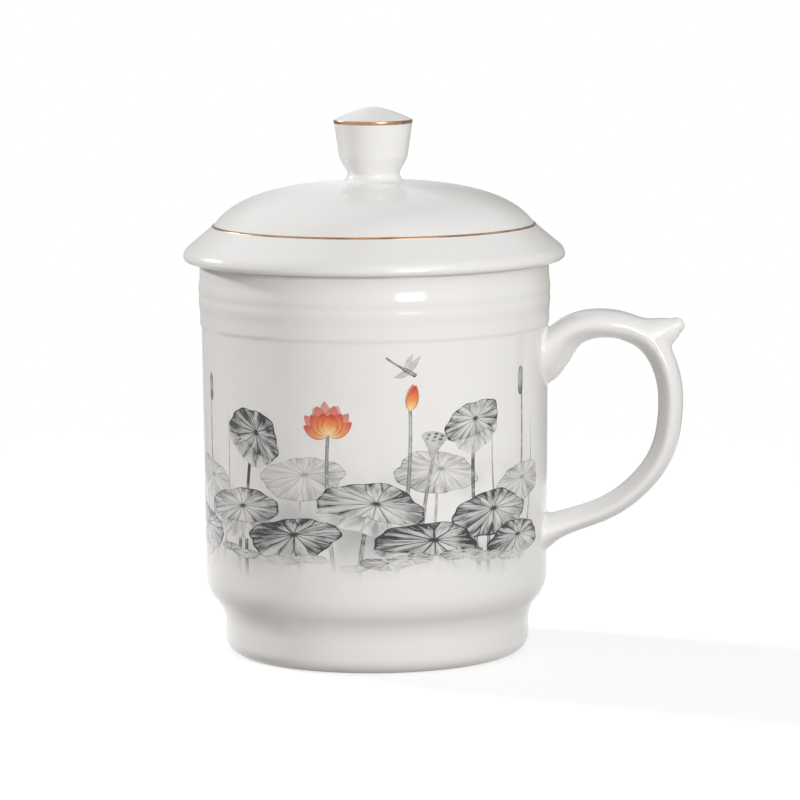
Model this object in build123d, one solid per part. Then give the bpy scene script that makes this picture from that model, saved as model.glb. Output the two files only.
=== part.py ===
from build123d import *

import math
import os

# A porcelain tea cup with a loose lid, as separately made pieces.
# Millimetres, +Z up along the cup's axis, handle towards +X, origin at the centre of the foot ring.

# Cup wall
cup_height = 96.0  # table to mouth
mouth_radius = 42.5  # outside of the plain band below the mouth
wall = 3.2
wall_taper = 0.5  # how much slimmer the wall is above its foot than under the ledge
mouth_round = 1.2  # both edges of the mouth
floor_thickness = 4.2
inner_round = 18.0  # from the inside wall to the floor

# Band below the mouth, with its ledge and turned rings
band_height = 15.4  # mouth down to the ledge
ledge_step = 0.35  # how far the band stands out over the wall
ledge_height = 0.5
ring_count = 2
ring_drop = 4.2  # mouth down to the upper ring
ring_pitch = 3.6
ring_rise = 0.35

# Foot
foot_height = 7.4  # plain band at the bottom
foot_inset = 4.5  # how far the foot is set in from the wall
foot_round = 3.8  # lower outside edge
shoulder_height = 11.8  # curve from the foot band out to the wall
foot_land = 3.2  # width of the ring that stands on the table
recess_depth = 2.6  # hollow inside the foot ring
recess_draft = 1.2

# Handle, measured in its own upright plane
handle_reach = 33.0  # wall to the outside of the grip
upper_root_drop = 8.4  # ledge down to the middle of the upper root
lower_root_rise = 10.7  # shoulder up to the middle of the lower root
handle_thickness = 6.5  # upper arm, in the plane of the loop
handle_taper = 0.9  # how much slimmer the lower arm is
handle_width = 10.0  # across the loop
upper_root_girth = 11.1
lower_root_girth = 8.4
root_width = 17.0
upper_flare = 9.0  # length over which the upper root swells
lower_flare = 3.2
handle_embed = 6.5  # how far the casting runs on before it is trimmed to the wall
handle_sections = 18

# Middle line of the loop: shares of the reach outwards, and of the height from the lower root to the upper
upper_tilt_share = 0.55  # rise of the middle line for its run, where the upper root meets the wall
lower_tilt_share = 0.5
loop_shares = (
    (0.0, 1.0),
    (0.177, 1.145),
    (0.418, 1.198),
    (0.717, 1.128),
    (0.896, 0.890),
    (0.911, 0.679),
    (0.850, 0.458),
    (0.681, 0.270),
    (0.436, 0.131),
    (0.158, 0.050),
    (0.0, 0.0),
)

# Thumb spur on the loop: shares of the reach and the height as above, then of the spur's girth and width
spur_girth = 9.6
spur_width = 9.0
spur_tip = 3.3  # diameter of its rounded end
spur_shares = (
    (0.715, 1.090, 1.0, 1.0),
    (0.873, 1.128, 0.85, 0.90),
    (0.930, 1.172, 0.60, 0.62),
)
spur_tip_shares = (0.977, 1.204)

# Slip between the castings
slip_thickness = 0.4
slip_bead = 0.4  # how far it squeezes out round a casting
bead_hollow_share = 0.4  # of the bead's width and height, where its hollow edge runs
fired_clearance = 0.1  # between round faces that fuse in the kiln

# Printed transfer on the wall
film_thickness = 0.12
film_margin = 1.8  # bare wall left at the shoulder and at the ledge
film_gap_angle = 30.0  # bare wall behind the handle

# Lid
lid_overhang = 3.9  # rim beyond the cup's band
lid_rim_round = 2.0
lid_shoulder_inset = 7.6  # gold line in from the rim
lid_shoulder_height = 8.8  # mouth up to the gold line
lid_height = 18.9  # mouth up to the crown
lid_wall = 3.0
skirt_clearance = 0.8  # between the skirt and the cup's mouth
skirt_depth = 6.5
skirt_thickness = 2.6
crown_margin = 1.0  # flat crown round the knob's slip

# Control points of the lid's curves: shares of the radius that each starts from, then of its rise
dome_shares = ((0.935, 0.33), (0.79, 0.90))
hollow_shares = ((1.0, 0.55), (0.60, 1.0))

# Knob
knob_radius = 9.6
knob_height = 17.7
knob_base_radius = 6.7
knob_rim_share = 0.777  # height of the gold line's lower edge
knob_waist_shares = ((0.52, 0.08), (0.835, 0.216), (0.874, 0.35))  # of the radius, of the height
knob_cap_shares = ((0.905, 0.848), (0.337, 1.0))

# Gold lines
gold_thickness = 0.12
lid_gold_width = 0.75
knob_gold_width = 0.9

overrun = 2.0  # how far a cutting shape runs past what it cuts

# Worked out from the sizes above
wall_top_radius = mouth_radius - ledge_step
wall_low_radius = wall_top_radius - wall_taper
foot_radius = wall_low_radius - foot_inset
inside_radius = mouth_radius - wall
inside_low_radius = wall_low_radius - wall
floor_height = recess_depth + floor_thickness
shoulder_top = foot_height + shoulder_height
ledge_top = cup_height - band_height
ledge_foot = ledge_top - ledge_height
upper_root = ledge_top - upper_root_drop
lower_root = shoulder_top + lower_root_rise
wall_middle_radius = wall_low_radius + wall_taper / 2

rim_radius = mouth_radius + lid_overhang
gold_radius = rim_radius - lid_shoulder_inset
gold_height = cup_height + lid_shoulder_height
crown_height = cup_height + lid_height
crown_radius = knob_base_radius + slip_bead + crown_margin
skirt_radius = inside_radius - skirt_clearance
skirt_inside = skirt_radius - skirt_thickness
skirt_bottom = cup_height - skirt_depth
knob_bottom = crown_height + slip_thickness
knob_land_radius = knob_radius - gold_thickness
knob_rim_bottom = knob_bottom + knob_height * knob_rim_share
knob_rim_top = knob_rim_bottom + knob_gold_width


def at(radius, height):
    """Point of a turned profile, in the XZ plane."""
    return Vector(radius, 0, height)


def between(start, end, share):
    """Point a share of the way from start to end."""
    return start + (end - start) * share


def turned(*edges):
    """Solid turned about the cup's axis from a closed profile."""
    return revolve(make_face(edges), Axis.Z)


def outline(*points):
    """Straight edges through the points of a profile."""
    return [Line(start, end) for start, end in zip(points, points[1:])]


def quarter(start, corner, end):
    """Round edge from start to end, tangent to both sides of a square corner."""
    return TangentArc(start, end, tangent=corner - start)


def s_curve(start, end):
    """Two equal arcs that leave start and reach end along the axis."""
    middle = between(start, end, 1 / 2)
    up = Vector(0, 0, 1)
    return [TangentArc(start, middle, tangent=up), TangentArc(end, middle, tangent=-up)]


def ring_beads(radius):
    """Turned rings on the band, from the lowest up, each one a shallow arc."""
    lowest = cup_height - ring_drop - ring_count * ring_pitch
    beads = []
    for index in range(ring_count):
        bottom = lowest + index * ring_pitch
        crest = at(radius + ring_rise, bottom + ring_pitch / 2)
        beads.append(ThreePointArc(at(radius, bottom), crest, at(radius, bottom + ring_pitch)))
    return beads


def cup_blank(grow):
    """The cup's outside as a solid block, with every side radius larger by grow."""
    foot = foot_radius + grow
    band = mouth_radius + grow
    land = at(foot - foot_round, 0)
    foot_side = at(foot, foot_round)
    foot_top = at(foot, foot_height)
    shoulder = at(wall_low_radius + grow, shoulder_top)
    under_ledge = at(wall_top_radius + grow, ledge_foot)
    ledge = at(band, ledge_top)
    beads = ring_beads(band)
    mouth_side = at(band, cup_height - mouth_round)
    mouth = at(band - mouth_round, cup_height)
    return turned(
        Line(at(0, 0), land),
        quarter(land, at(foot, 0), foot_side),
        Line(foot_side, foot_top),
        *s_curve(foot_top, shoulder),
        Line(shoulder, under_ledge),
        *outline(under_ledge, ledge, beads[0] @ 0),
        *beads,
        Line(beads[-1] @ 1, mouth_side),
        quarter(mouth_side, at(band, cup_height), mouth),
        *outline(mouth, at(0, cup_height), at(0, 0)),
    )


def cup_inside():
    """The space that holds the tea, opened a little past the mouth."""
    mouth = at(inside_radius + mouth_round, cup_height)
    throat = at(inside_radius, cup_height - mouth_round)
    spring = at(inside_low_radius, floor_height + inner_round)
    floor = at(inside_low_radius - inner_round, floor_height)
    above = cup_height + overrun
    return turned(
        *outline(at(0, floor_height), at(0, above), at(mouth.X, above), mouth),
        TangentArc(throat, mouth, tangent=Vector(0, 0, 1)),
        Line(throat, spring),
        quarter(floor, at(inside_low_radius, floor_height), spring),
        Line(floor, at(0, floor_height)),
    )


def foot_recess():
    """The hollow inside the foot ring, opened a little below the table."""
    radius = foot_radius - foot_round - foot_land
    roof = at(radius - recess_draft, recess_depth)
    below = -overrun
    return turned(
        *outline(at(0, below), at(radius, below), at(radius, 0), roof, at(0, recess_depth), at(0, below))
    )


def cup_body():
    """Cast cup: foot ring, shoulder, wall, ledge, rings and mouth."""
    return cup_blank(0) - cup_inside() - foot_recess()


def handle_point(out_share, up_share):
    """Point of the handle's plane from its shares of the reach and of the height between the roots."""
    height = lower_root + (upper_root - lower_root) * up_share
    return at(wall_middle_radius + handle_reach * out_share, height)


def handle_path():
    """Middle line of the loop, run on into the wall at both roots."""
    points = [handle_point(*shares) for shares in loop_shares]
    upper_end = points[0] - Vector(handle_embed, 0, handle_embed * upper_tilt_share)
    lower_end = points[-1] - Vector(handle_embed, 0, handle_embed * lower_tilt_share)
    return Spline(upper_end, *points, lower_end)


def section(origin, along, across, girth):
    """Oval section of the handle, square to the direction along."""
    return Plane(origin=origin, x_dir=(0, 1, 0), z_dir=along) * Ellipse(across / 2, girth / 2)


def loop(grow):
    """The D loop with its swelling roots, every section larger by grow on each side."""
    path = handle_path()
    length = path.length
    sections = []
    for index in range(handle_sections):
        share = (1 - math.cos(math.pi * index / (handle_sections - 1))) / 2
        distance = length * share
        upper = math.exp(-max(0, distance - handle_embed) / upper_flare)
        lower = math.exp(-max(0, length - distance - handle_embed) / lower_flare)
        arm = handle_thickness - handle_taper * share
        girth = arm + (upper_root_girth - arm) * upper + (lower_root_girth - arm) * lower
        across = handle_width + (root_width - handle_width) * (upper + lower)
        origin = path.position_at(share, PositionMode.PARAMETER)
        along = path.tangent_at(share, PositionMode.PARAMETER)
        sections.append(section(origin, along, across + 2 * grow, girth + 2 * grow))
    return loft(sections)


def thumb_spur():
    """Horn that rises from the loop's outer corner, with a rounded tip."""
    tip = handle_point(*spur_tip_shares)
    places = [handle_point(out_share, up_share) for out_share, up_share, _, _ in spur_shares] + [tip]
    sections = []
    for index, (_, _, girth_share, width_share) in enumerate(spur_shares):
        along = places[index + 1] - places[max(0, index - 1)]
        sections.append(section(places[index], along, spur_width * width_share, spur_girth * girth_share))
    along = (tip - places[-2]).normalized()
    sections.append(section(tip, along, spur_tip, spur_tip))
    return loft(sections) + Pos(tip) * Sphere(spur_tip / 2)


def handle():
    """Cast handle, trimmed to the slip on the cup's wall."""
    return loop(0) + thumb_spur() - cup_blank(slip_thickness + fired_clearance)


def handle_slips():
    """Slip under the handle's two roots, the upper one first."""
    pads = (loop(slip_bead) & cup_blank(slip_thickness)) - cup_blank(0)
    return sorted(pads.solids(), key=lambda pad: pad.center().Z, reverse=True)


def wall_radius(height):
    """Outside radius of the plain wall at a height."""
    return wall_low_radius + wall_taper * (height - shoulder_top) / (ledge_foot - shoulder_top)


def print_film():
    """Fired transfer round the wall, with a gap behind the handle."""
    bottom = shoulder_top + film_margin
    top = ledge_foot - film_margin
    inner_low = at(wall_radius(bottom) + fired_clearance, bottom)
    inner_top = at(wall_radius(top) + fired_clearance, top)
    outwards = at(film_thickness, 0)
    face = make_face(outline(inner_low, inner_low + outwards, inner_top + outwards, inner_top, inner_low))
    return Rot(0, 0, film_gap_angle / 2) * revolve(face, Axis.Z, 360 - film_gap_angle)


def flare_tangent():
    """Point where the lid's flare leaves its round rim for the gold line."""
    centre = at(rim_radius - lid_rim_round, cup_height + lid_rim_round)
    towards = at(gold_radius, gold_height) - centre
    turn = math.atan2(towards.Z, towards.X) - math.acos(lid_rim_round / towards.length)
    return centre + at(math.cos(turn), math.sin(turn)) * lid_rim_round


def lid():
    """Cast lid: round rim, flare, dome, hollow underside and locating skirt."""
    seat = at(rim_radius - lid_rim_round, cup_height)
    tangent = flare_tangent()
    shoulder = at(gold_radius, gold_height)
    crown = at(crown_radius, crown_height)
    dome_height = crown_height - gold_height
    dome = [at(gold_radius * out, gold_height + dome_height * up) for out, up in dome_shares]
    hollow_top = crown_height - lid_wall
    spring = at(skirt_inside, gold_height - lid_wall)
    hollow_height = hollow_top - spring.Z
    hollow = [at(skirt_inside * out, spring.Z + hollow_height * up) for out, up in hollow_shares]
    skirt_end = skirt_bottom + skirt_thickness / 2
    inner_end = at(skirt_inside, skirt_end)
    outer_end = at(skirt_radius, skirt_end)
    return turned(
        Line(at(skirt_radius, cup_height), seat),
        TangentArc(seat, tangent, tangent=Vector(1, 0, 0)),
        Line(tangent, shoulder),
        Bezier(shoulder, *dome, crown),
        *outline(crown, at(0, crown_height), at(0, hollow_top)),
        Bezier(spring, *hollow, at(0, hollow_top)),
        Line(spring, inner_end),
        ThreePointArc(inner_end, at(skirt_radius - skirt_thickness / 2, skirt_bottom), outer_end),
        Line(outer_end, at(skirt_radius, cup_height)),
    )


def knob_slip():
    """Slip under the knob, hollowed round its edge where it squeezes out."""
    edge = at(knob_base_radius + slip_bead, crown_height)
    top = at(knob_base_radius, knob_bottom)
    hollow_radius = knob_base_radius + slip_bead * bead_hollow_share
    hollow = at(hollow_radius, crown_height + slip_thickness * bead_hollow_share)
    return turned(
        Line(at(0, crown_height), edge),
        ThreePointArc(edge, hollow, top),
        *outline(top, at(0, knob_bottom), at(0, crown_height)),
    )


def knob_at(radius_share, height_share):
    """Point of the knob's profile from its shares of the knob's radius and height."""
    return at(knob_radius * radius_share, knob_bottom + knob_height * height_share)


def lid_knob():
    """Cast knob: waisted stem, flaring flank, narrow land for the gold line and a low cap."""
    base = at(knob_base_radius, knob_bottom)
    waist = [knob_at(*shares) for shares in knob_waist_shares]
    land_bottom = at(knob_land_radius, knob_rim_bottom)
    land_top = at(knob_land_radius, knob_rim_top)
    cap = [knob_at(*shares) for shares in knob_cap_shares]
    apex = at(0, knob_bottom + knob_height)
    return turned(
        Line(at(0, knob_bottom), base),
        Bezier(base, *waist),
        *outline(waist[-1], land_bottom, land_top),
        Bezier(land_top, *cap, apex),
        Line(apex, at(0, knob_bottom)),
    )


def lid_gold_line():
    """Fired gold on the flare, along the foot of the dome."""
    shoulder = at(gold_radius, gold_height)
    down = (flare_tangent() - shoulder).normalized()
    end = shoulder + down * lid_gold_width
    outwards = at(-down.Z, down.X) * gold_thickness
    return turned(*outline(shoulder, end, end + outwards, shoulder + outwards, shoulder))


def knob_gold_line():
    """Fired gold on the land round the knob's rim."""
    inner_low = at(knob_land_radius, knob_rim_bottom)
    inner_top = at(knob_land_radius, knob_rim_top)
    outwards = at(gold_thickness, 0)
    return turned(*outline(inner_low, inner_low + outwards, inner_top + outwards, inner_top, inner_low))


upper_slip, lower_slip = handle_slips()
pieces = {
    "cup_body": cup_body(),
    "handle": handle(),
    "handle_upper_slip": upper_slip,
    "handle_lower_slip": lower_slip,
    "print_film": print_film(),
    "lid": lid(),
    "lid_knob": lid_knob(),
    "knob_slip": knob_slip(),
    "lid_gold_line": lid_gold_line(),
    "knob_gold_line": knob_gold_line(),
}

os.makedirs("parts", exist_ok=True)
for name, piece in pieces.items():
    export_step(piece, os.path.join("parts", name + ".step"))
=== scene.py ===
"""Looks of a lidded porcelain tea cup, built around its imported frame.

The turned pieces are thrown from half sections, the handle is cast as one smooth body that flows into the
wall, and the picture on the wall is a lotus pond in grey ink with orange blooms. Metres, +Z up, handle
towards +X.
"""

import logging
import math
from dataclasses import dataclass
from enum import Enum

import bmesh
import bpy
import numpy as np
from bpy.types import ID, Material, Mesh, Node, NodeSocket, NodeTree, Object, bpy_prop_collection
from mathutils import Matrix, Vector


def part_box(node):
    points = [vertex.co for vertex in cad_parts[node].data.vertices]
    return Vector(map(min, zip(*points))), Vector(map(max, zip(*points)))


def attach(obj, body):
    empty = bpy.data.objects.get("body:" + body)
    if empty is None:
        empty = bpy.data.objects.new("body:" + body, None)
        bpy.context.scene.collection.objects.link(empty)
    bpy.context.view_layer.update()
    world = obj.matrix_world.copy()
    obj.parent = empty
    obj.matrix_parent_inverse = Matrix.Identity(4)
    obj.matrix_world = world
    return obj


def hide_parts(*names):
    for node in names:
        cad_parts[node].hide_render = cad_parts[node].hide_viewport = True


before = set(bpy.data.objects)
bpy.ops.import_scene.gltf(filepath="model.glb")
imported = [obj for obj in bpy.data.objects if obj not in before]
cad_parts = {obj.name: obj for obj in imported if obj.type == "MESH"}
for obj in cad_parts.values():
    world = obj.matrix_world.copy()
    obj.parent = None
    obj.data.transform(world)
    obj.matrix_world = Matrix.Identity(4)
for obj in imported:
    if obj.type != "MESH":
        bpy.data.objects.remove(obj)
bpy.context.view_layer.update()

LOG = logging.getLogger("tea_cup")
MM = 0.001
Colour = tuple[float, float, float]
Point = tuple[float, float]
Span = tuple[float, float]


class Body(Enum):
    """Bodies of the frame that pieces ride on."""

    CUP = "cup"
    LID = "lid"


class Slot(Enum):
    """Material slots of the record."""

    PORCELAIN = "porcelain"
    SLIP = "slip"
    PRINT = "print"
    GOLD = "gold"


class Field:
    """A number or a vector that varies over a shape, held as the output of a node."""

    def __init__(self, graph: "Graph", socket: NodeSocket) -> None:
        """Keeps the node output and the graph that it belongs to."""
        self.graph = graph
        self.socket = socket

    def __add__(self, other: "Field | float") -> "Field":
        """Sum with a field or a number."""
        return self.graph.math("ADD", self, other)

    def __sub__(self, other: "Field | float") -> "Field":
        """Difference from a field or a number."""
        return self.graph.math("SUBTRACT", self, other)

    def __rsub__(self, other: float) -> "Field":
        """A number less this field."""
        return self.graph.math("SUBTRACT", other, self)

    def __mul__(self, other: "Field | float") -> "Field":
        """Product with a field or a number."""
        return self.graph.math("MULTIPLY", self, other)

    def __truediv__(self, other: "Field | float") -> "Field":
        """Quotient by a field or a number."""
        return self.graph.math("DIVIDE", self, other)

    __radd__ = __add__
    __rmul__ = __mul__


class Graph:
    """Writes nodes into a shader tree or a geometry tree."""

    def __init__(self, tree: NodeTree) -> None:
        """Starts from the tree as it is."""
        self.tree = tree

    def node(self, kind: str, feeds: dict | None = None, **settings: object) -> Node:
        """Adds a node.

        Args:
            kind: Blender's name of the node type.
            feeds: what each input gets, by its name or its number.
            settings: properties of the node itself.

        Returns:
            The new node.
        """
        node = self.tree.nodes.new(kind)
        for name, value in settings.items():
            setattr(node, name, value)
        for key, value in (feeds or {}).items():
            self.feed(node.inputs[key], value)
        return node

    def feed(self, socket: NodeSocket, value: object) -> None:
        """Links a value to an input, or sets the input's own value.

        Args:
            socket: the input.
            value: a field or a node's output to link, or a plain value to set.
        """
        if isinstance(value, Field):
            value = value.socket
        if isinstance(value, NodeSocket):
            self.tree.links.new(value, socket)
        else:
            socket.default_value = value

    def field(
        self, kind: str, feeds: dict | None = None, output: str | int = 0, **settings: object
    ) -> Field:
        """Adds a node and gives one of its outputs as a field."""
        return Field(self, self.node(kind, feeds, **settings).outputs[output])

    @staticmethod
    def live(sockets: bpy_prop_collection, name: str = "Value") -> NodeSocket:
        """The socket of that name that the node's settings switch on."""
        return next(socket for socket in sockets if socket.enabled and socket.name == name)

    def math(self, operation: str, *values: Field | float) -> Field:
        """Adds one step of arithmetic."""
        return self.field("ShaderNodeMath", dict(enumerate(values)), operation=operation)

    def length(self, first: Field, second: Field) -> Field:
        """Length of a vector of two numbers."""
        return self.math("SQRT", first * first + second * second)

    def step(self, value: Field | float, low: Field | float, high: Field | float) -> Field:
        """Soft step that goes from 0 at low to 1 at high."""
        feeds = {"Value": value, "From Min": low, "From Max": high}
        return self.field("ShaderNodeMapRange", feeds, interpolation_type="SMOOTHSTEP")

    def spread(self, value: Field, low: Field | float, high: Field | float) -> Field:
        """Maps 0 to 1 onto low to high."""
        return self.field("ShaderNodeMapRange", {"Value": value, "To Min": low, "To Max": high})

    def ramp(self, value: Field, edges: Span, levels: Span) -> Field:
        """Soft step between two edges, from the first level to the second."""
        return self.spread(self.step(value, *edges), *levels)

    def noise(self, place: Field, scale: float, detail: float = 2.0, roughness: float = 0.5) -> Field:
        """Cloudy noise from 0 to 1."""
        feeds = {"Vector": place, "Scale": scale, "Detail": detail, "Roughness": roughness}
        return self.field("ShaderNodeTexNoise", feeds)

    def drift(self, place: Field, scale: float, detail: float = 2.0) -> Field:
        """Cloudy noise about zero, half a unit each way."""
        return self.noise(place, scale, detail) - 0.5

    def vector(self, x: Field | float, y: Field | float, z: Field | float) -> Field:
        """Vector of three numbers."""
        return self.field("ShaderNodeCombineXYZ", {"X": x, "Y": y, "Z": z})

    def split(self, vector: Field) -> tuple[Field, Field, Field]:
        """The three numbers of a vector."""
        node = self.node("ShaderNodeSeparateXYZ", {"Vector": vector})
        return tuple(Field(self, output) for output in node.outputs)

    def round_axis(self, angle: Field, radius: Field, height: Field) -> Field:
        """Place at an angle round the axis."""
        return self.vector(self.math("COSINE", angle) * radius, self.math("SINE", angle) * radius, height)

    def attribute(self, name: str, output: str) -> Field:
        """A value that the mesh carries at its points, for a material."""
        return self.field("ShaderNodeAttribute", output=output, attribute_name=name)

    def carried(self, name: str, kind: str = "FLOAT") -> Field:
        """A value that the seed carries at its points, for a geometry tree."""
        return self.field("GeometryNodeInputNamedAttribute", {"Name": name}, data_type=kind)

    def bump(self, height: Field, strength: float, depth: float) -> Field:
        """Normal of a surface with fine relief."""
        return self.field("ShaderNodeBump", {"Strength": strength, "Distance": depth, "Height": height})

    def surface(self, kind: str, feeds: dict) -> None:
        """Ends a material in one shader."""
        shader = self.node(kind, feeds)
        self.node("ShaderNodeOutputMaterial", {"Surface": shader.outputs[0]})

    def mix(self, share: Field, first: Field | Colour, second: Field | Colour) -> Field:
        """Blends two colours.

        Args:
            share: how much of the second colour shows, from 0 to 1.
            first: colour where the share is 0.
            second: colour where the share is 1.

        Returns:
            The blended colour.
        """
        node = self.node("ShaderNodeMix", data_type="RGBA")
        colours = [socket for socket in node.inputs if socket.type == "RGBA"]
        self.feed(node.inputs[0], share)
        for socket, colour in zip(colours, (first, second)):
            self.feed(socket, colour if isinstance(colour, Field) else (*colour, 1.0))
        return Field(self, next(socket for socket in node.outputs if socket.type == "RGBA"))

    def sample(self, geometry: Field, value: Field, index: Field, kind: str) -> Field:
        """Reads a value at one point of a mesh.

        Args:
            geometry: the mesh.
            value: what is read.
            index: number of the point.
            kind: Blender's name of the value's type.

        Returns:
            The value at that point.
        """
        feeds = {"Geometry": geometry, "Index": index}
        node = self.node("GeometryNodeSampleIndex", feeds, data_type=kind, domain="POINT")
        self.feed(self.live(node.inputs), value)
        return Field(self, self.live(node.outputs))


def add_object(name: str, data: ID) -> Object:
    """Adds an object to the scene, at the origin."""
    item = bpy.data.objects.new(name, data)
    bpy.context.scene.collection.objects.link(item)
    return item


def carry(mesh: Mesh, name: str, values: np.ndarray) -> None:
    """Lets a mesh carry a number or a vector at each of its points."""
    kind, key = ("FLOAT", "value") if values.ndim == 1 else ("FLOAT_VECTOR", "vector")
    mesh.attributes.new(name, kind, "POINT").data.foreach_set(key, values.astype(np.float32).ravel())


def turn_outwards(piece: Object) -> None:
    """Points the faces of a closed shell outwards.

    Args:
        piece: the shell.
    """
    shell = bmesh.new()
    shell.from_mesh(piece.data)
    bmesh.ops.recalc_face_normals(shell, faces=shell.faces)
    shell.to_mesh(piece.data)
    shell.free()


class Rule:
    """A geometry tree with named sizes, which turns a seed mesh into a finished one."""

    CRISP = math.radians(40.0)

    def __init__(self, name: str) -> None:
        """Opens an empty tree with a seed going in and a material to set at the end.

        Args:
            name: name of the tree.
        """
        self.tree = bpy.data.node_groups.new(name, "GeometryNodeTree")
        self.graph = Graph(self.tree)
        self.labels: dict[str, str] = {}
        self.tree.interface.new_socket("Result", in_out="OUTPUT", socket_type="NodeSocketGeometry")
        self.entry = self.tree.nodes.new("NodeGroupInput")
        self.seed = self.size("Seed", "NodeSocketGeometry")
        self.finish_material = self.size("Material", "NodeSocketMaterial")

    def size(self, label: str, kind: str = "NodeSocketFloat") -> Field:
        """Adds a named input to the tree and gives it as a field."""
        socket = self.tree.interface.new_socket(label, in_out="INPUT", socket_type=kind)
        self.labels[label] = socket.identifier
        return Field(self.graph, next(s for s in self.entry.outputs if s.identifier == socket.identifier))

    def close(self, geometry: Field) -> None:
        """Ends the tree: smooth faces with crisp edges, no instances left, one material.

        Args:
            geometry: the finished shape.
        """
        graph = self.graph
        rounded = graph.field("GeometryNodeSetShadeSmooth", {"Geometry": geometry})
        crisp = graph.math("GREATER_THAN", graph.field("GeometryNodeInputMeshEdgeAngle"), self.CRISP)
        feeds = {"Geometry": rounded, "Selection": crisp, "Shade Smooth": False}
        smooth = graph.field("GeometryNodeSetShadeSmooth", feeds, domain="EDGE")
        real = graph.field("GeometryNodeRealizeInstances", {"Geometry": smooth})
        feeds = {"Geometry": real, "Material": self.finish_material}
        graph.node("NodeGroupOutput", {"Result": graph.field("GeometryNodeSetMaterial", feeds)})

    def grow(self, name: str, seed: Mesh, **sizes: object) -> Object:
        """Runs the tree on a seed and keeps the result as a plain mesh.

        Args:
            name: name of the piece.
            seed: mesh that goes into the tree.
            sizes: value of each named input, with underscores for spaces.

        Returns:
            The piece, at the origin, with its faces outwards and no modifier left on it.
        """
        piece = add_object(name, seed)
        modifier = piece.modifiers.new("rule", "NODES")
        modifier.node_group = self.tree
        for label, value in sizes.items():
            modifier[self.labels[label.replace("_", " ").capitalize()]] = value
        depsgraph = bpy.context.evaluated_depsgraph_get()
        grown = bpy.data.meshes.new_from_object(
            piece.evaluated_get(depsgraph), preserve_all_data_layers=True, depsgraph=depsgraph
        )
        piece.modifiers.remove(modifier)
        piece.data = grown
        grown.name = name
        turn_outwards(piece)
        return piece


def settle(piece: Object, body: Body, slot: Slot, *nodes: str) -> None:
    """Puts a finished piece on its body, in the place of the frame's nodes that it stands for.

    Args:
        piece: finished piece.
        body: body that it moves with.
        slot: material slot of the record; not used.
        nodes: nodes of the frame that it replaces.
    """
    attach(piece, body.value)
    if nodes:
        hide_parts(*nodes)
    LOG.info("%s: %d faces on %s", piece.name, len(piece.data.polygons), body.value)


def open_material(name: str) -> tuple[Material, Graph]:
    """Makes an empty node material.

    Args:
        name: name of the material.

    Returns:
        The material and its graph.
    """
    material = bpy.data.materials.new(name)
    material.use_nodes = True
    material.node_tree.nodes.clear()
    return material, Graph(material.node_tree)


def object_place(graph: Graph) -> Field:
    """Coordinates of the surface in the frame."""
    return graph.field("ShaderNodeTexCoord", output="Object")


class Finish:
    """A finish of a surface, as a node material."""

    def dress(self, graph: Graph, place: Field) -> None:
        """Writes the finish into the graph of an empty material.

        Args:
            graph: the material's graph.
            place: coordinates of the surface.
        """
        raise NotImplementedError

    def material(self, name: str) -> Material:
        """Builds the material.

        Args:
            name: name of the material.

        Returns:
            The material.
        """
        material, graph = open_material(name)
        self.dress(graph, object_place(graph))
        return material


@dataclass(frozen=True)
class Gloss:
    """The clear glaze that lies over every ceramic surface."""

    roughness: float = 0.095
    roughness_spread: float = 0.05
    refraction: float = 1.52
    ripple: float = 0.05  # strength of the faint waves in the glaze
    ripple_depth: float = 0.25 * MM
    ripple_scale: float = 70.0  # waves per metre
    smear_scale: float = 38.0

    def coat(self, graph: Graph, place: Field, colour: Field, extra_roughness: Field | None = None) -> None:
        """Ends a material in the gloss.

        Args:
            graph: the material's graph.
            place: coordinates of the surface.
            colour: colour under the glaze.
            extra_roughness: roughness added where the surface is bare.
        """
        smear = graph.noise(place, self.smear_scale, detail=3.0)
        rough = graph.spread(smear, self.roughness, self.roughness + self.roughness_spread)
        if extra_roughness is not None:
            rough = rough + extra_roughness
        wave = graph.noise(place, self.ripple_scale, detail=1.0)
        normal = graph.bump(wave, self.ripple, self.ripple_depth)
        feeds = {"Base Color": colour, "Roughness": rough, "IOR": self.refraction, "Normal": normal}
        graph.surface("ShaderNodeBsdfPrincipled", feeds)


@dataclass(frozen=True)
class Porcelain(Finish):
    """White porcelain under clear gloss, bare on the ring that stands on the table."""

    white: Colour = (0.825, 0.815, 0.80)
    cloud: Colour = (0.795, 0.785, 0.77)
    biscuit: Colour = (0.70, 0.675, 0.635)
    cloud_scale: float = 22.0
    cloud_edges: Span = (0.35, 0.7)
    grain_scale: float = 2600.0
    bare_height: float = 0.35 * MM
    bare_edge: float = 0.25 * MM
    bare_roughness: float = 0.6
    gloss: Gloss = Gloss()

    def body_colour(self, graph: Graph, place: Field) -> Field:
        """White of the body with its faint clouds."""
        clouds = graph.step(graph.noise(place, self.cloud_scale, detail=4.0), *self.cloud_edges)
        return graph.mix(clouds, self.white, self.cloud)

    def dress(self, graph: Graph, place: Field) -> None:
        """Glazed body, bare underneath, by the arguments of Finish."""
        glazed = self.body_colour(graph, place)
        grain = graph.noise(place, self.grain_scale) * self.bare_edge
        height = graph.split(place)[2] + grain
        bare = 1.0 - graph.step(height, self.bare_height, self.bare_height + self.bare_edge)
        colour = graph.mix(bare, glazed, self.biscuit)
        self.gloss.coat(graph, place, colour, bare * self.bare_roughness)


@dataclass(frozen=True)
class Mist:
    """White mist that rises over the water and hides the feet of the plants."""

    low: float = 22.5 * MM
    high: float = 35.0 * MM
    wander: float = 11.0 * MM
    scale: float = 55.0

    def clear(self, graph: Graph, place: Field) -> Field:
        """0 in the mist, 1 above it."""
        height = graph.split(place)[2] + graph.drift(place, self.scale, detail=3.0) * self.wander
        return graph.step(height, self.low, self.high)


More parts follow.
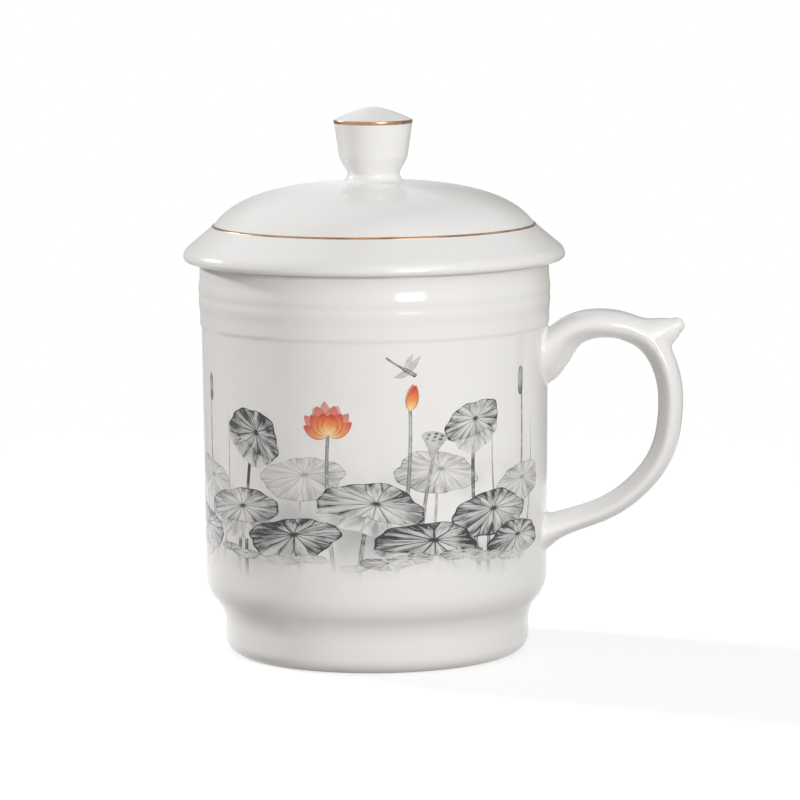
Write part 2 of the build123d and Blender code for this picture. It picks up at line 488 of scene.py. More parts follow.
@dataclass(frozen=True)
class Ink(Finish):
    """An ink on the white of the body, under the clear glaze."""

    body: Porcelain = Porcelain()

    def tint(self, graph: Graph, place: Field, white: Field) -> Field:
        """Colour of the inked surface.

        Args:
            graph: the material's graph.
            place: coordinates of the surface.
            white: colour of the bare body.

        Returns:
            The colour.
        """
        raise NotImplementedError

    def dress(self, graph: Graph, place: Field) -> None:
        """Inked body under its glaze, by the arguments of Finish."""
        colour = self.tint(graph, place, self.body.body_colour(graph, place))
        self.body.gloss.coat(graph, place, colour)


@dataclass(frozen=True)
class WashInk(Ink):
    """Pale clouds of wash behind the plants, lost in the mist below and in the white above."""

    grey: Colour = (0.20, 0.20, 0.205)
    strength: float = 0.62
    top: float = 57.0 * MM
    fade: float = 20.0 * MM
    end_edges: Span = (0.01, 0.16)  # shares of the half length, in from each end
    cloud_scale: float = 42.0
    cloud_edges: Span = (0.36, 0.66)
    fibre_scale: float = 420.0
    fibre_ink: Span = (0.75, 1.1)
    mist: Mist = Mist()

    def tint(self, graph: Graph, place: Field, white: Field) -> Field:
        """Colour of the wash, by the arguments of Ink."""
        cloud = graph.noise(place, self.cloud_scale, detail=5.0, roughness=0.55)
        height = graph.split(place)[2] + (cloud - 0.5) * self.fade
        below = 1.0 - graph.step(height, self.top - self.fade, self.top)
        fibre = graph.spread(graph.noise(place, self.fibre_scale, detail=3.0), *self.fibre_ink)
        inwards = graph.split(graph.attribute("grain", "Vector"))[0]
        veil = below * graph.step(inwards, *self.end_edges) * self.mist.clear(graph, place)
        ink = graph.step(cloud, *self.cloud_edges) * fibre * veil * self.strength
        return graph.mix(ink, white, self.grey)


@dataclass(frozen=True)
class LeafInk(Ink):
    """Grey wash of the lotus leaves: brushed rays, forked veins, a dark rim and a dark heart.

    Edges are shares of a ray from the leaf's heart to its rim, or of the noise that they cut.
    """

    black: Colour = (0.030, 0.030, 0.032)
    veins: float = 13.0
    waver_scale: float = 240.0
    waver: float = 0.35
    fork_edges: Span = (0.45, 1.05)
    fork_spread: float = 0.22
    vein_edges: Span = (0.01, 0.05)
    vein_ink: float = 0.34
    brush_round: float = 2.1  # brush marks in one sector
    brush_along: float = 1.2  # brush marks along one ray
    brush_edges: Span = (0.32, 0.70)
    brush_ink: Span = (0.22, 1.0)
    pool_scale: float = 120.0
    pool_edges: Span = (0.3, 0.72)
    pool_ink: Span = (0.5, 1.1)
    shade_edges: Span = (0.2, 1.0)
    shade_ink: Span = (0.55, 1.0)
    rim_edges: Span = (0.93, 0.985)
    rim_ink: float = 0.30
    heart_edges: Span = (0.03, 0.15)
    heart_ink: float = 0.35
    mist: Mist = Mist()

    def tint(self, graph: Graph, place: Field, white: Field) -> Field:
        """Colour of a leaf, by the arguments of Ink."""
        x, y, seed = graph.split(graph.attribute("grain", "Vector"))
        ray = graph.length(x, y)
        waver = graph.drift(place, self.waver_scale) * self.waver
        sector = graph.math("ARCTAN2", y, x) * (self.veins / math.tau) + seed + waver
        line = self.lines(graph, ray, sector)
        marks = graph.vector(sector * self.brush_round, ray * self.brush_along, seed)
        brush = graph.noise(marks, 1.0, detail=4.0, roughness=0.62)
        streak = graph.ramp(brush, self.brush_edges, self.brush_ink)
        pool = graph.ramp(graph.noise(place, self.pool_scale, detail=4.0), self.pool_edges, self.pool_ink)
        wet = streak * pool * graph.ramp(ray, self.shade_edges, self.shade_ink) + line
        ink = wet * graph.attribute("tone", "Fac") * self.mist.clear(graph, place)
        return graph.mix(graph.math("MINIMUM", ink, 1.0), white, self.black)

    def lines(self, graph: Graph, ray: Field, sector: Field) -> Field:
        """Ink of the drawn lines: veins, rim and heart.

        Args:
            graph: the material's graph.
            ray: share of the way from the heart to the rim.
            sector: number of the vein, with the share of the way to the next one.

        Returns:
            The ink.
        """
        side = graph.math("ABSOLUTE", graph.math("FRACT", sector) - 0.5)
        fork = graph.step(ray, *self.fork_edges) * self.fork_spread
        gap = graph.math("ABSOLUTE", side - fork) * ray
        vein = 1.0 - graph.step(gap, *self.vein_edges)
        heart = 1.0 - graph.step(ray, *self.heart_edges)
        rim = graph.step(ray, *self.rim_edges)
        return vein * self.vein_ink + rim * self.rim_ink + heart * self.heart_ink


@dataclass(frozen=True)
class StrokeInk(Ink):
    """Ink of the drawn strokes: darker at the edges, drier in places."""

    black: Colour = (0.022, 0.022, 0.024)
    side_edges: Span = (0.2, 0.9)  # shares of the half width
    side_ink: Span = (0.78, 1.05)
    dry_scale: float = 420.0
    dry_edges: Span = (0.3, 0.6)
    dry_ink: Span = (0.55, 1.0)
    mist: Mist = Mist(low=23.5 * MM, high=33.0 * MM)

    def tint(self, graph: Graph, place: Field, white: Field) -> Field:
        """Colour of a stroke, by the arguments of Ink."""
        across = graph.split(graph.attribute("grain", "Vector"))[1]
        side = graph.ramp(graph.math("ABSOLUTE", across), self.side_edges, self.side_ink)
        dry = graph.ramp(graph.noise(place, self.dry_scale, detail=3.0), self.dry_edges, self.dry_ink)
        ink = side * dry * graph.attribute("tone", "Fac") * self.mist.clear(graph, place)
        return graph.mix(graph.math("MINIMUM", ink, 1.0), white, self.black)


@dataclass(frozen=True)
class PetalInk(Ink):
    """Orange wash of the blooms: cream at the foot of a petal, red at its tip, with fine lines.

    Edges are shares of the petal's length or half width.
    """

    cream: Colour = (0.90, 0.66, 0.30)
    orange: Colour = (0.84, 0.27, 0.06)
    red: Colour = (0.62, 0.045, 0.025)
    outline: Colour = (0.34, 0.03, 0.02)
    wash_scale: float = 260.0
    wash_drift: float = 0.35
    orange_edges: Span = (0.0, 0.5)
    red_edges: Span = (0.42, 1.0)
    lines: float = 3.5
    line_edges: Span = (0.02, 0.12)
    line_reach: Span = (0.25, 0.8)
    line_ink: float = 0.35
    outline_edges: Span = (0.80, 0.97)
    outline_ink: float = 0.8

    def tint(self, graph: Graph, place: Field, white: Field) -> Field:
        """Colour of a petal, by the arguments of Ink."""
        along, across, seed = graph.split(graph.attribute("grain", "Vector"))
        reach = along + graph.drift(place, self.wash_scale) * self.wash_drift
        warm = graph.mix(graph.step(reach, *self.orange_edges), self.cream, self.orange)
        full = graph.mix(graph.step(reach, *self.red_edges), warm, self.red)
        comb = graph.math("ABSOLUTE", graph.math("FRACT", across * self.lines + seed) - 0.5)
        fine = (1.0 - graph.step(comb, *self.line_edges)) * graph.step(along, *self.line_reach)
        edge = graph.step(graph.math("ABSOLUTE", across), *self.outline_edges)
        drawn = graph.math("MAXIMUM", edge, fine * self.line_ink) * self.outline_ink
        lined = graph.mix(drawn, full, self.outline)
        return graph.mix(1.0 - graph.attribute("tone", "Fac"), lined, white)


@dataclass(frozen=True)
class FiredGold(Finish):
    """Bright gold line, thinner and browner in places, with fine marks of the banding brush."""

    bright: Colour = (0.46, 0.27, 0.155)
    worn: Colour = (0.21, 0.115, 0.07)
    patch_scale: float = 160.0
    patch_edges: Span = (0.38, 0.7)
    roughness: float = 0.16
    roughness_spread: float = 0.18
    brush_scale: float = 9000.0
    brush_strength: float = 0.3
    brush_depth: float = 0.02 * MM

    def dress(self, graph: Graph, place: Field) -> None:
        """Brushed gold with its worn patches, by the arguments of Finish."""
        patches = graph.noise(place, self.patch_scale, detail=3.0)
        colour = graph.mix(graph.step(patches, *self.patch_edges), self.bright, self.worn)
        height = graph.split(place)[2]
        hairs = graph.noise(graph.vector(0.0, 0.0, height), self.brush_scale, detail=1.0)
        normal = graph.bump(hairs, self.brush_strength, self.brush_depth)
        rough = graph.spread(patches, self.roughness, self.roughness + self.roughness_spread)
        feeds = {"Base Color": colour, "Metallic": 1.0, "Roughness": rough, "Normal": normal}
        graph.surface("ShaderNodeBsdfPrincipled", feeds)


def bezier(controls: np.ndarray, share: float) -> np.ndarray:
    """Point of a Bezier curve, from its control points and the share of the way along it."""
    order = len(controls) - 1
    weights = [math.comb(order, k) * share**k * (1 - share) ** (order - k) for k in range(order + 1)]
    return np.array(weights) @ controls


class Profile:
    """Half section of a turned piece, as corners of radius and height that may be rounded."""

    ARC_STEP = math.radians(7.5)

    def __init__(self) -> None:
        """Starts with no corner."""
        self.corners: list[tuple[float, float, float]] = []

    def corner(self, radius: float, height: float, round_off: float = 0.0) -> None:
        """Adds a corner, rounded to an arc of the given radius."""
        self.corners.append((radius, height, round_off))

    def curve(self, *controls: Point, steps: int = 28) -> None:
        """Adds a Bezier curve from the last corner, by its other control points."""
        points = np.array([self.corners[-1][:2], *controls])
        for index in range(1, steps + 1):
            self.corner(*bezier(points, index / steps))

    def swing(self, end: Point, steps: int = 14) -> None:
        """Adds two equal arcs that start and finish along the axis.

        Args:
            end: radius and height where they finish.
            steps: how many corners each arc takes.
        """
        radius, height, _ = self.corners[-1]
        out, rise = (end[0] - radius) / 2, (end[1] - height) / 2
        arc = (out**2 + rise**2) / (2 * abs(out))
        sweep = math.asin(abs(rise) / arc)
        half = [(1 - math.cos(sweep * i / steps), math.sin(sweep * i / steps)) for i in range(steps + 1)]
        side, climb = math.copysign(arc, out), math.copysign(arc, rise)
        for a, b in half[1:]:
            self.corner(radius + side * a, height + climb * b)
        for a, b in reversed(half[:-1]):
            self.corner(end[0] - side * a, end[1] - climb * b)

    def arc(
        self, before: np.ndarray, here: np.ndarray, after: np.ndarray, radius: float
    ) -> list[np.ndarray]:
        """Rounds one corner.

        Args:
            before: the corner before it.
            here: the corner itself.
            after: the corner after it.
            radius: radius of the arc.

        Returns:
            Points of the arc.
        """
        back = (before - here) / np.linalg.norm(before - here)
        ahead = (after - here) / np.linalg.norm(after - here)
        half = math.acos(float(np.clip(back @ ahead, -1.0, 1.0))) / 2
        centre = here + (back + ahead) / np.linalg.norm(back + ahead) * radius / math.sin(half)
        start = here + back * radius / math.tan(half) - centre
        end = here + ahead * radius / math.tan(half) - centre
        turn = math.pi - 2 * half
        steps = max(2, math.ceil(turn / self.ARC_STEP))
        weights = [(math.sin((1 - s) * turn), math.sin(s * turn)) for s in np.linspace(0.0, 1.0, steps + 1)]
        return [centre + (start * a + end * b) / math.sin(turn) for a, b in weights]

    def seed(self, name: str) -> Mesh:
        """Makes a mesh of the section, with each rounded corner as an arc.

        Args:
            name: name of the mesh.

        Returns:
            A line of points in the XZ plane.
        """
        flat = [np.array(corner[:2]) for corner in self.corners]
        line = []
        for index, (_, _, round_off) in enumerate(self.corners):
            rounded = round_off and 0 < index < len(flat) - 1
            line += self.arc(*flat[index - 1 : index + 2], round_off) if rounded else [flat[index]]
        mesh = bpy.data.meshes.new(name)
        places = [(radius, 0.0, height) for radius, height in line]
        mesh.from_pydata(places, [(i, i + 1) for i in range(len(places) - 1)], [])
        return mesh


class Wheel:
    """The rule for turned pieces: a half section swept round the axis."""

    MERGE = 0.002 * MM

    def __init__(self) -> None:
        """Builds the tree, in which a grid of one unit takes the section's points row by row."""
        self.rule = Rule("turned_on_the_wheel")
        graph, section = self.rule.graph, self.rule.seed
        segments = self.rule.size("Segments", "NodeSocketInt")
        count = graph.field("GeometryNodeAttributeDomainSize", {"Geometry": section}, "Point Count")
        feeds = {"Size X": 1.0, "Size Y": 1.0, "Vertices X": segments + 1.0, "Vertices Y": count}
        grid = graph.field("GeometryNodeMeshGrid", feeds)
        here = graph.field("GeometryNodeInputPosition")
        across, along, _ = graph.split(here)
        feeds = {"Float": (along + 0.5) * (count - 1.0)}
        row = graph.field("FunctionNodeFloatToInt", feeds, rounding_mode="ROUND")
        radius, _, height = graph.split(graph.sample(section, here, row, "FLOAT_VECTOR"))
        ring = graph.round_axis((across + 0.5) * math.tau, radius, height)
        swept = graph.field("GeometryNodeSetPosition", {"Geometry": grid, "Position": ring})
        feeds = {"Geometry": swept, "Distance": self.MERGE}
        self.rule.close(graph.field("GeometryNodeMergeByDistance", feeds))

    def throw(self, name: str, profile: Profile, finish: Material, segments: int) -> Object:
        """Turns a half section, closed or ending on the axis, into a closed piece."""
        return self.rule.grow(name, profile.seed(name + "_section"), segments=segments, material=finish)


@dataclass(frozen=True)
class Cup:
    """Cast cup: foot ring, shoulder, plain wall, ledge, two turned rings and mouth."""

    height: float = 96.0 * MM
    band_radius: float = 42.5 * MM
    wall: float = 3.2 * MM
    wall_taper: float = 0.5 * MM
    mouth_round: float = 1.2 * MM
    mouth_edge: float = 0.5 * MM
    floor_height: float = 6.8 * MM
    inner_round: float = 18.0 * MM
    band_height: float = 15.4 * MM
    ledge_step: float = 0.35 * MM
    ledge_height: float = 0.5 * MM
    ledge_soft: float = 0.6 * MM
    ring_count: int = 2
    ring_drop: float = 3.4 * MM
    ring_flank: float = 3.3 * MM
    ring_pitch: float = 2.8 * MM
    ring_rise: float = 0.30 * MM
    ring_groove: float = 0.09 * MM
    ring_steps: int = 14
    foot_height: float = 7.4 * MM
    foot_inset: float = 4.5 * MM
    foot_round: float = 3.8 * MM
    shoulder_height: float = 11.8 * MM
    foot_land: float = 3.2 * MM
    land_round: float = 0.5 * MM
    recess_depth: float = 2.6 * MM
    recess_draft: float = 1.2 * MM
    recess_round: float = 1.0 * MM
    segments: int = 288

    @property
    def wall_top(self) -> float:
        """Outside radius of the wall under the ledge."""
        return self.band_radius - self.ledge_step

    @property
    def wall_low(self) -> float:
        """Outside radius of the wall above the shoulder."""
        return self.wall_top - self.wall_taper

    @property
    def shoulder_top(self) -> float:
        """Height where the plain wall starts."""
        return self.foot_height + self.shoulder_height

    @property
    def ledge_top(self) -> float:
        """Height of the ledge's upper edge."""
        return self.height - self.band_height

    @property
    def ledge_foot(self) -> float:
        """Height of the ledge's lower edge."""
        return self.ledge_top - self.ledge_height

    def wall_sizes(self) -> dict[str, float]:
        """Sizes of the plain wall, by the names that the rules give them."""
        return {"wall_low": self.wall_low, "wall_top": self.wall_top, "shoulder": self.shoulder_top}

    def profile(self) -> Profile:
        """Draws the half section.

        Returns:
            The section, from the middle of the underside round to the middle of the floor inside.
        """
        foot = self.wall_low - self.foot_inset
        recess = foot - self.foot_round - self.foot_land
        section = Profile()
        section.corner(0.0, self.recess_depth)
        section.corner(recess - self.recess_draft, self.recess_depth, self.recess_round)
        section.corner(recess, 0.0, self.land_round)
        section.corner(foot, 0.0, self.foot_round)
        section.corner(foot, self.foot_height)
        section.swing((self.wall_low, self.shoulder_top))
        section.corner(self.wall_top, self.ledge_foot - self.ledge_soft)
        section.swing((self.band_radius, self.ledge_top + self.ledge_soft))
        self.rings(section)
        section.corner(self.band_radius, self.height, self.mouth_edge)
        section.corner(self.band_radius - self.wall, self.height, self.mouth_round)
        section.corner(self.wall_low - self.wall, self.floor_height, self.inner_round)
        section.corner(0.0, self.floor_height)
        return section

    def rings(self, section: Profile) -> None:
        """Adds the soft rings of the band, from the lower one up: one swell with a groove between them.

        Args:
            section: the cup's section up to there.
        """
        crests = (self.ring_count - 1) * self.ring_pitch
        span = crests + 2 * self.ring_flank
        lowest = self.height - self.ring_drop - span
        steps = self.ring_steps * (self.ring_count + 1)
        for index in range(steps + 1):
            up = span * index / steps
            flank = min(1.0, up / self.ring_flank, (span - up) / self.ring_flank)
            swell = self.ring_rise * math.sin(math.pi / 2 * flank) ** 2
            along = (up - self.ring_flank) / self.ring_pitch
            if 0.0 < along < self.ring_count - 1:
                swell -= self.ring_groove * math.sin(math.pi * along) ** 2
            section.corner(self.band_radius + swell, lowest + up)

    def build(self, wheel: Wheel, finish: Material) -> None:
        """Throws the cup."""
        piece = wheel.throw("cup_porcelain", self.profile(), finish, self.segments)
        settle(piece, Body.CUP, Slot.PORCELAIN, "cup_body")


def natural_spline(points: np.ndarray, count: int) -> tuple[np.ndarray, np.ndarray]:
    """Smooth line through points.

    Args:
        points: one point a row.
        count: how many points to give back.

    Returns:
        Points along the line, and the share of the line that each one has reached.
    """
    chords = np.linalg.norm(np.diff(points, axis=0), axis=1)
    knots = np.concatenate([[0.0], np.cumsum(chords)])
    size = len(points)
    system = np.eye(size)
    right = np.zeros_like(points)
    for i in range(1, size - 1):
        before, after = chords[i - 1], chords[i]
        system[i, i - 1 : i + 2] = (before, 2 * (before + after), after)
        right[i] = 6 * ((points[i + 1] - points[i]) / after - (points[i] - points[i - 1]) / before)
    bend = np.linalg.solve(system, right)
    shares = np.linspace(0.0, 1.0, count)
    along = shares * knots[-1]
    span = np.clip(np.searchsorted(knots, along, side="right") - 1, 0, size - 2)
    chord = chords[span][:, None]
    a = (knots[span + 1] - along)[:, None] / chord
    b = 1 - a
    line = a * points[span] + b * points[span + 1]
    line += ((a**3 - a) * bend[span] + (b**3 - b) * bend[span + 1]) * chord**2 / 6
    return line, shares


def ease(share: np.ndarray) -> np.ndarray:
    """Soft step of shares from 0 to 1."""
    return share**2 * (3 - 2 * share)


class Casting:
    """The rule for the handle: two limbs, melted together and into the cup's wall.

    A limb's section is an oval that may be pinched on its inner side and have a fuller crown on its outer
    side. The spans are shares of the half girth, out from the limb's middle line.
    """

    SECTION = ("half_girth", "half_width", "pinch", "crown")
    PINCH_SPAN = (-1.0, 0.35)  # from the full pinch to none
    CROWN_SPAN = (0.0, 0.4)  # from the plain oval to the full crown

    def __init__(self) -> None:
        """Builds the tree, which meshes the skin where the distance to the handle is nothing."""
        self.rule = Rule("cast_handle")
        graph, size = self.rule.graph, self.rule.size
        melt, root_melt = size("Spur melt"), size("Root melt")
        depth, reach = size("Root depth"), size("Root reach")
        low, high = size("Box low", "NodeSocketVector"), size("Box high", "NodeSocketVector")
        voxels = {f"Resolution {axis.upper()}": size(f"Voxels {axis}", "NodeSocketInt") for axis in "xyz"}
        smoothing = size("Smoothing", "NodeSocketInt")
        here = graph.field("GeometryNodeInputPosition")
        x, y, z = graph.split(here)
        wall = self.wall_distance(x, y, z)
        feeds = {"Geometry": self.rule.seed, "Selection": graph.carried("spur")}
        limbs = graph.node("GeometryNodeSeparateGeometry", feeds)
        flat = graph.vector(x, 0.0, z)
        horn, loop = (self.limb_distance(Field(graph, out), flat, y) for out in limbs.outputs[:2])
        limb = graph.math("SMOOTH_MIN", loop, horn, melt)
        melted = graph.math("SMOOTH_MIN", limb, wall, root_melt)
        inner = graph.math("MAXIMUM", limb - reach, (wall + depth) * -1.0)
        distance = graph.math("MAXIMUM", melted, inner)
        feeds = {"Density": 1.0 - distance / MM, "Background": 0.0, "Min": low, "Max": high}
        cube = graph.field("GeometryNodeVolumeCube", feeds | voxels)
        feeds = {"Volume": cube, "Threshold": 1.0}
        skin = graph.field("GeometryNodeVolumeToMesh", feeds, resolution_mode="GRID")
        blur = graph.node("GeometryNodeBlurAttribute", {"Iterations": smoothing}, data_type="FLOAT_VECTOR")
        graph.feed(graph.live(blur.inputs), here)
        feeds = {"Geometry": skin, "Position": graph.live(blur.outputs)}
        self.rule.close(graph.field("GeometryNodeSetPosition", feeds))

    def wall_distance(self, x: Field, y: Field, z: Field) -> Field:
        """Distance out from the cup's wall and ledge.

        Args:
            x: place in the handle's plane, out from the cup's axis.
            y: place across that plane.
            z: height.

        Returns:
            The distance, below zero inside.
        """
        graph, size = self.rule.graph, self.rule.size
        wall_low, wall_top = size("Wall low"), size("Wall top")
        shoulder, ledge_foot = size("Shoulder"), size("Ledge foot")
        ledge_top, ledge_step = size("Ledge top"), size("Ledge step")
        rise = (z - shoulder) / (ledge_foot - shoulder)
        radius = wall_low + (wall_top - wall_low) * graph.math("MINIMUM", rise, 1.0)
        radius = radius + graph.step(z, ledge_foot, ledge_top) * ledge_step
        return graph.length(x, y) - radius + size("Wall sink")

    def limb_distance(self, line: Field, flat: Field, side: Field) -> Field:
        """Distance out from a limb.

        Args:
            line: its middle line in the handle's plane, which carries the section.
            flat: the place, moved straight across into that plane.
            side: how far across it was moved.

        Returns:
            The distance, below zero inside.
        """
        graph = self.rule.graph
        feeds = {"Geometry": line, "Sample Position": flat}
        closest = graph.node("GeometryNodeProximity", feeds, target_element="EDGES")
        foot, gap = (Field(graph, closest.outputs[name]) for name in ("Position", "Distance"))
        nearest = graph.field("GeometryNodeSampleNearest", feeds, domain="POINT")
        girth, width, pinch, crown = (
            graph.sample(line, graph.carried(name), nearest, "FLOAT") for name in self.SECTION
        )
        outward = graph.sample(line, graph.carried("outward", "FLOAT_VECTOR"), nearest, "FLOAT_VECTOR")
        offset = graph.field("ShaderNodeVectorMath", {0: flat, 1: foot}, operation="SUBTRACT")
        out = graph.field("ShaderNodeVectorMath", {0: offset, 1: outward}, "Value", operation="DOT_PRODUCT")
        share = out / girth
        width = width * (1.0 - pinch * (1.0 - graph.step(share, *self.PINCH_SPAN)))
        power = crown * graph.step(share, *self.CROWN_SPAN) + 1.0
        tall, wide = graph.math("POWER", gap / girth, power), side / width
        steep = tall * power * graph.math("POWER", gap / girth, power - 1.0)
        near = graph.length(tall, wide)
        slope = graph.length(steep / girth, wide / width)
        return near * (near - 1.0) / graph.math("MAXIMUM", slope, 1.0)


@dataclass(frozen=True)
class Handle:
    """D loop with swelling roots and a thumb spur, in its own upright plane on a cup's wall."""

    cup: Cup
    reach: float = 33.0 * MM
    upper_root_drop: float = 8.4 * MM
    lower_root_rise: float = 10.7 * MM
    thickness: float = 6.5 * MM
    taper: float = 0.9 * MM
    width: float = 10.0 * MM
    upper_root_girth: float = 11.1 * MM
    upper_root_width: float = 16.0 * MM
    lower_root_girth: float = 8.4 * MM
    lower_root_width: float = 13.5 * MM
    upper_flare: float = 9.0 * MM
    lower_flare: float = 3.2 * MM
    embed: float = 6.5 * MM
    upper_tilt_share: float = 0.55
    lower_tilt_share: float = 0.5
    root_length: float = 8.0 * MM
    arm_length: float = 26.0 * MM
    lower_arm_length: float = 11.0 * MM
    root_pinch: float = 0.32  # share of the width lost on the inner side
    arm_pinch: float = 0.0
    grip_pinch: float = 0.50
    root_crown: float = 1.8  # what the oval's power gains on the outer side
    spur_girth: float = 9.6 * MM
    spur_width: float = 9.0 * MM
    spur_tip: float = 4.0 * MM
    spur_melt: float = 3.0 * MM
    root_melt: float = 1.3 * MM
    root_depth: float = 1.2 * MM
    root_reach_share: float = 0.97
    wall_sink: float = 0.03 * MM
    voxel: float = 0.3 * MM
    margin: float = 3.0 * MM
    smoothing: int = 6
    loop_points: int = 1800
    spur_points: int = 450

    LOOP_SHARES = (
        (0.0, 1.0),
        (0.177, 1.145),
        (0.418, 1.198),
        (0.717, 1.128),
        (0.896, 0.890),
        (0.911, 0.679),
        (0.850, 0.458),
        (0.681, 0.270),
        (0.436, 0.131),
        (0.158, 0.050),
        (0.0, 0.0),
    )
    SPUR_SHARES = (
        (0.618, 1.151, 0.333, 0.50),
        (0.724, 1.149, 0.604, 0.80),
        (0.821, 1.144, 0.750, 0.90),
        (0.912, 1.166, 0.625, 0.68),
    )
    TIP_SHARES = (0.959, 1.187)

    def place(self, out_share: float, up_share: float) -> Point:
        """Point of the handle's plane.

        Args:
            out_share: share of the reach.
            up_share: share of the height between the roots.

        Returns:
            Its distance from the axis and its height.
        """
        upper = self.cup.ledge_top - self.upper_root_drop
        lower = self.cup.shoulder_top + self.lower_root_rise
        radius = (self.cup.wall_low + self.cup.wall_top) / 2
        return radius + self.reach * out_share, lower + (upper - lower) * up_share

    def loop_line(self) -> np.ndarray:
        """Middle line of the loop, from its upper root round to its lower one.

        Returns:
            One point a row: place, half girth, half width, pinch and crown.
        """
        points = [self.place(*shares) for shares in self.LOOP_SHARES]
        first = (points[0][0] - self.embed, points[0][1] - self.embed * self.upper_tilt_share)
        last = (points[-1][0] - self.embed, points[-1][1] - self.embed * self.lower_tilt_share)
        line, shares = natural_spline(np.array([first, *points, last]), self.loop_points)
        length = np.linalg.norm(np.diff(line, axis=0), axis=1).sum()
        from_upper = shares * length - self.embed
        from_lower = length - shares * length - self.embed
        upper = np.exp(-np.maximum(0.0, from_upper) / self.upper_flare)
        lower = np.exp(-np.maximum(0.0, from_lower) / self.lower_flare)
        arm = self.thickness - self.taper * shares
        girth = arm + (self.upper_root_girth - arm) * upper + (self.lower_root_girth - arm) * lower
        near_upper = np.clip(1.0 - (from_upper - self.root_length) / self.arm_length, 0.0, 1.0)
        near_lower = np.clip(1.0 - from_lower / self.lower_arm_length, 0.0, 1.0)
        width = self.width + (self.upper_root_width - self.width) * ease(near_upper)
        width += (self.lower_root_width - self.width) * ease(near_lower)
        pinches = (self.grip_pinch, self.arm_pinch, self.root_pinch)
        pinch = np.interp(near_upper, (0.0, 0.5, 1.0), pinches) * (1 - near_lower)
        return np.column_stack([line, girth / 2, width / 2, pinch, self.root_crown * upper**2])

    def spur_line(self) -> np.ndarray:
        """Middle line of the spur, from the loop out to its tip.

        Returns:
            One point a row: place, half girth, half width, and no pinch or crown.
        """
        rows = []
        for out_share, up_share, girth_share, width_share in self.SPUR_SHARES:
            halves = self.spur_girth * girth_share / 2, self.spur_width * width_share / 2
            rows.append((*self.place(out_share, up_share), *halves))
        rows.append((*self.place(*self.TIP_SHARES), self.spur_tip / 2, self.spur_tip / 2))
        line = natural_spline(np.array(rows), self.spur_points)[0]
        return np.column_stack([line, np.zeros((len(line), 2))])

    def seed(self) -> Mesh:
        """Makes one mesh of the two middle lines.

        Returns:
            The lines, which carry their section and the direction away from the fingers at each point.
        """
        loop, spur = self.loop_line(), self.spur_line()
        rows = np.vstack([loop, spur])
        mesh = bpy.data.meshes.new("handle_lines")
        edges = [(i, i + 1) for i in range(len(rows) - 1) if i != len(loop) - 1]
        mesh.from_pydata([(x, 0.0, z) for x, z in rows[:, :2]], edges, [])
        is_spur = np.arange(len(rows)) >= len(loop)
        for name, values in zip((*Casting.SECTION, "spur"), (*rows[:, 2:].T, is_spur)):
            carry(mesh, name, values)
        ahead = np.gradient(rows[:, :2], axis=0)
        ahead /= np.linalg.norm(ahead, axis=1)[:, None]
        carry(mesh, "outward", np.column_stack([-ahead[:, 1], np.zeros(len(rows)), ahead[:, 0]]))
        return mesh

    def build(self, casting: Casting, finish: Material) -> None:
        """Casts the handle on the cup's wall.

        Args:
            casting: the rule.
            finish: material.
        """
        cup = self.cup
        low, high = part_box("handle")
        margin = Vector((self.margin,) * 3)
        low, high = low - margin, high + margin
        voxels = {f"voxels_{axis}": round(side / self.voxel) for axis, side in zip("xyz", high - low)}
        piece = casting.rule.grow(
            "handle_porcelain",
            self.seed(),
            material=finish,
            spur_melt=self.spur_melt,
            root_melt=self.root_melt,
            root_depth=self.root_depth,
            root_reach=self.root_melt * self.root_reach_share,
            box_low=low,
            box_high=high,
            smoothing=self.smoothing,
            ledge_foot=cup.ledge_foot - cup.ledge_soft,
            ledge_top=cup.ledge_top + cup.ledge_soft,
            ledge_step=cup.ledge_step,
            wall_sink=self.wall_sink,
            **voxels,
            **cup.wall_sizes(),
        )
        settle(piece, Body.CUP, Slot.PORCELAIN, "handle", "handle_upper_slip", "handle_lower_slip")


def gold_bead(
    low: np.ndarray, high: np.ndarray, out: np.ndarray, rise: float, steps: int = 8, square: int = 4
) -> Profile:
    """Closed section of a gold line that stands a little proud, sunk a little at its back.

    Args:
        low: lower edge on the surface.
        high: upper edge on the surface.
        out: direction away from the surface.
        rise: how proud the line stands at its middle.
        steps: how many steps its front takes.
        square: power of its front's curve, flatter as it goes up.

    Returns:
        The section.
    """
    section = Profile()
    for share in np.linspace(0.0, 1.0, steps + 1):
        swell = rise * (1 - (2 * share - 1) ** square)
        section.corner(*(low + (high - low) * share + out * swell))
    section.corner(*(high - out * rise))
    section.corner(*(low - out * rise))
    section.corner(*low)
    return section


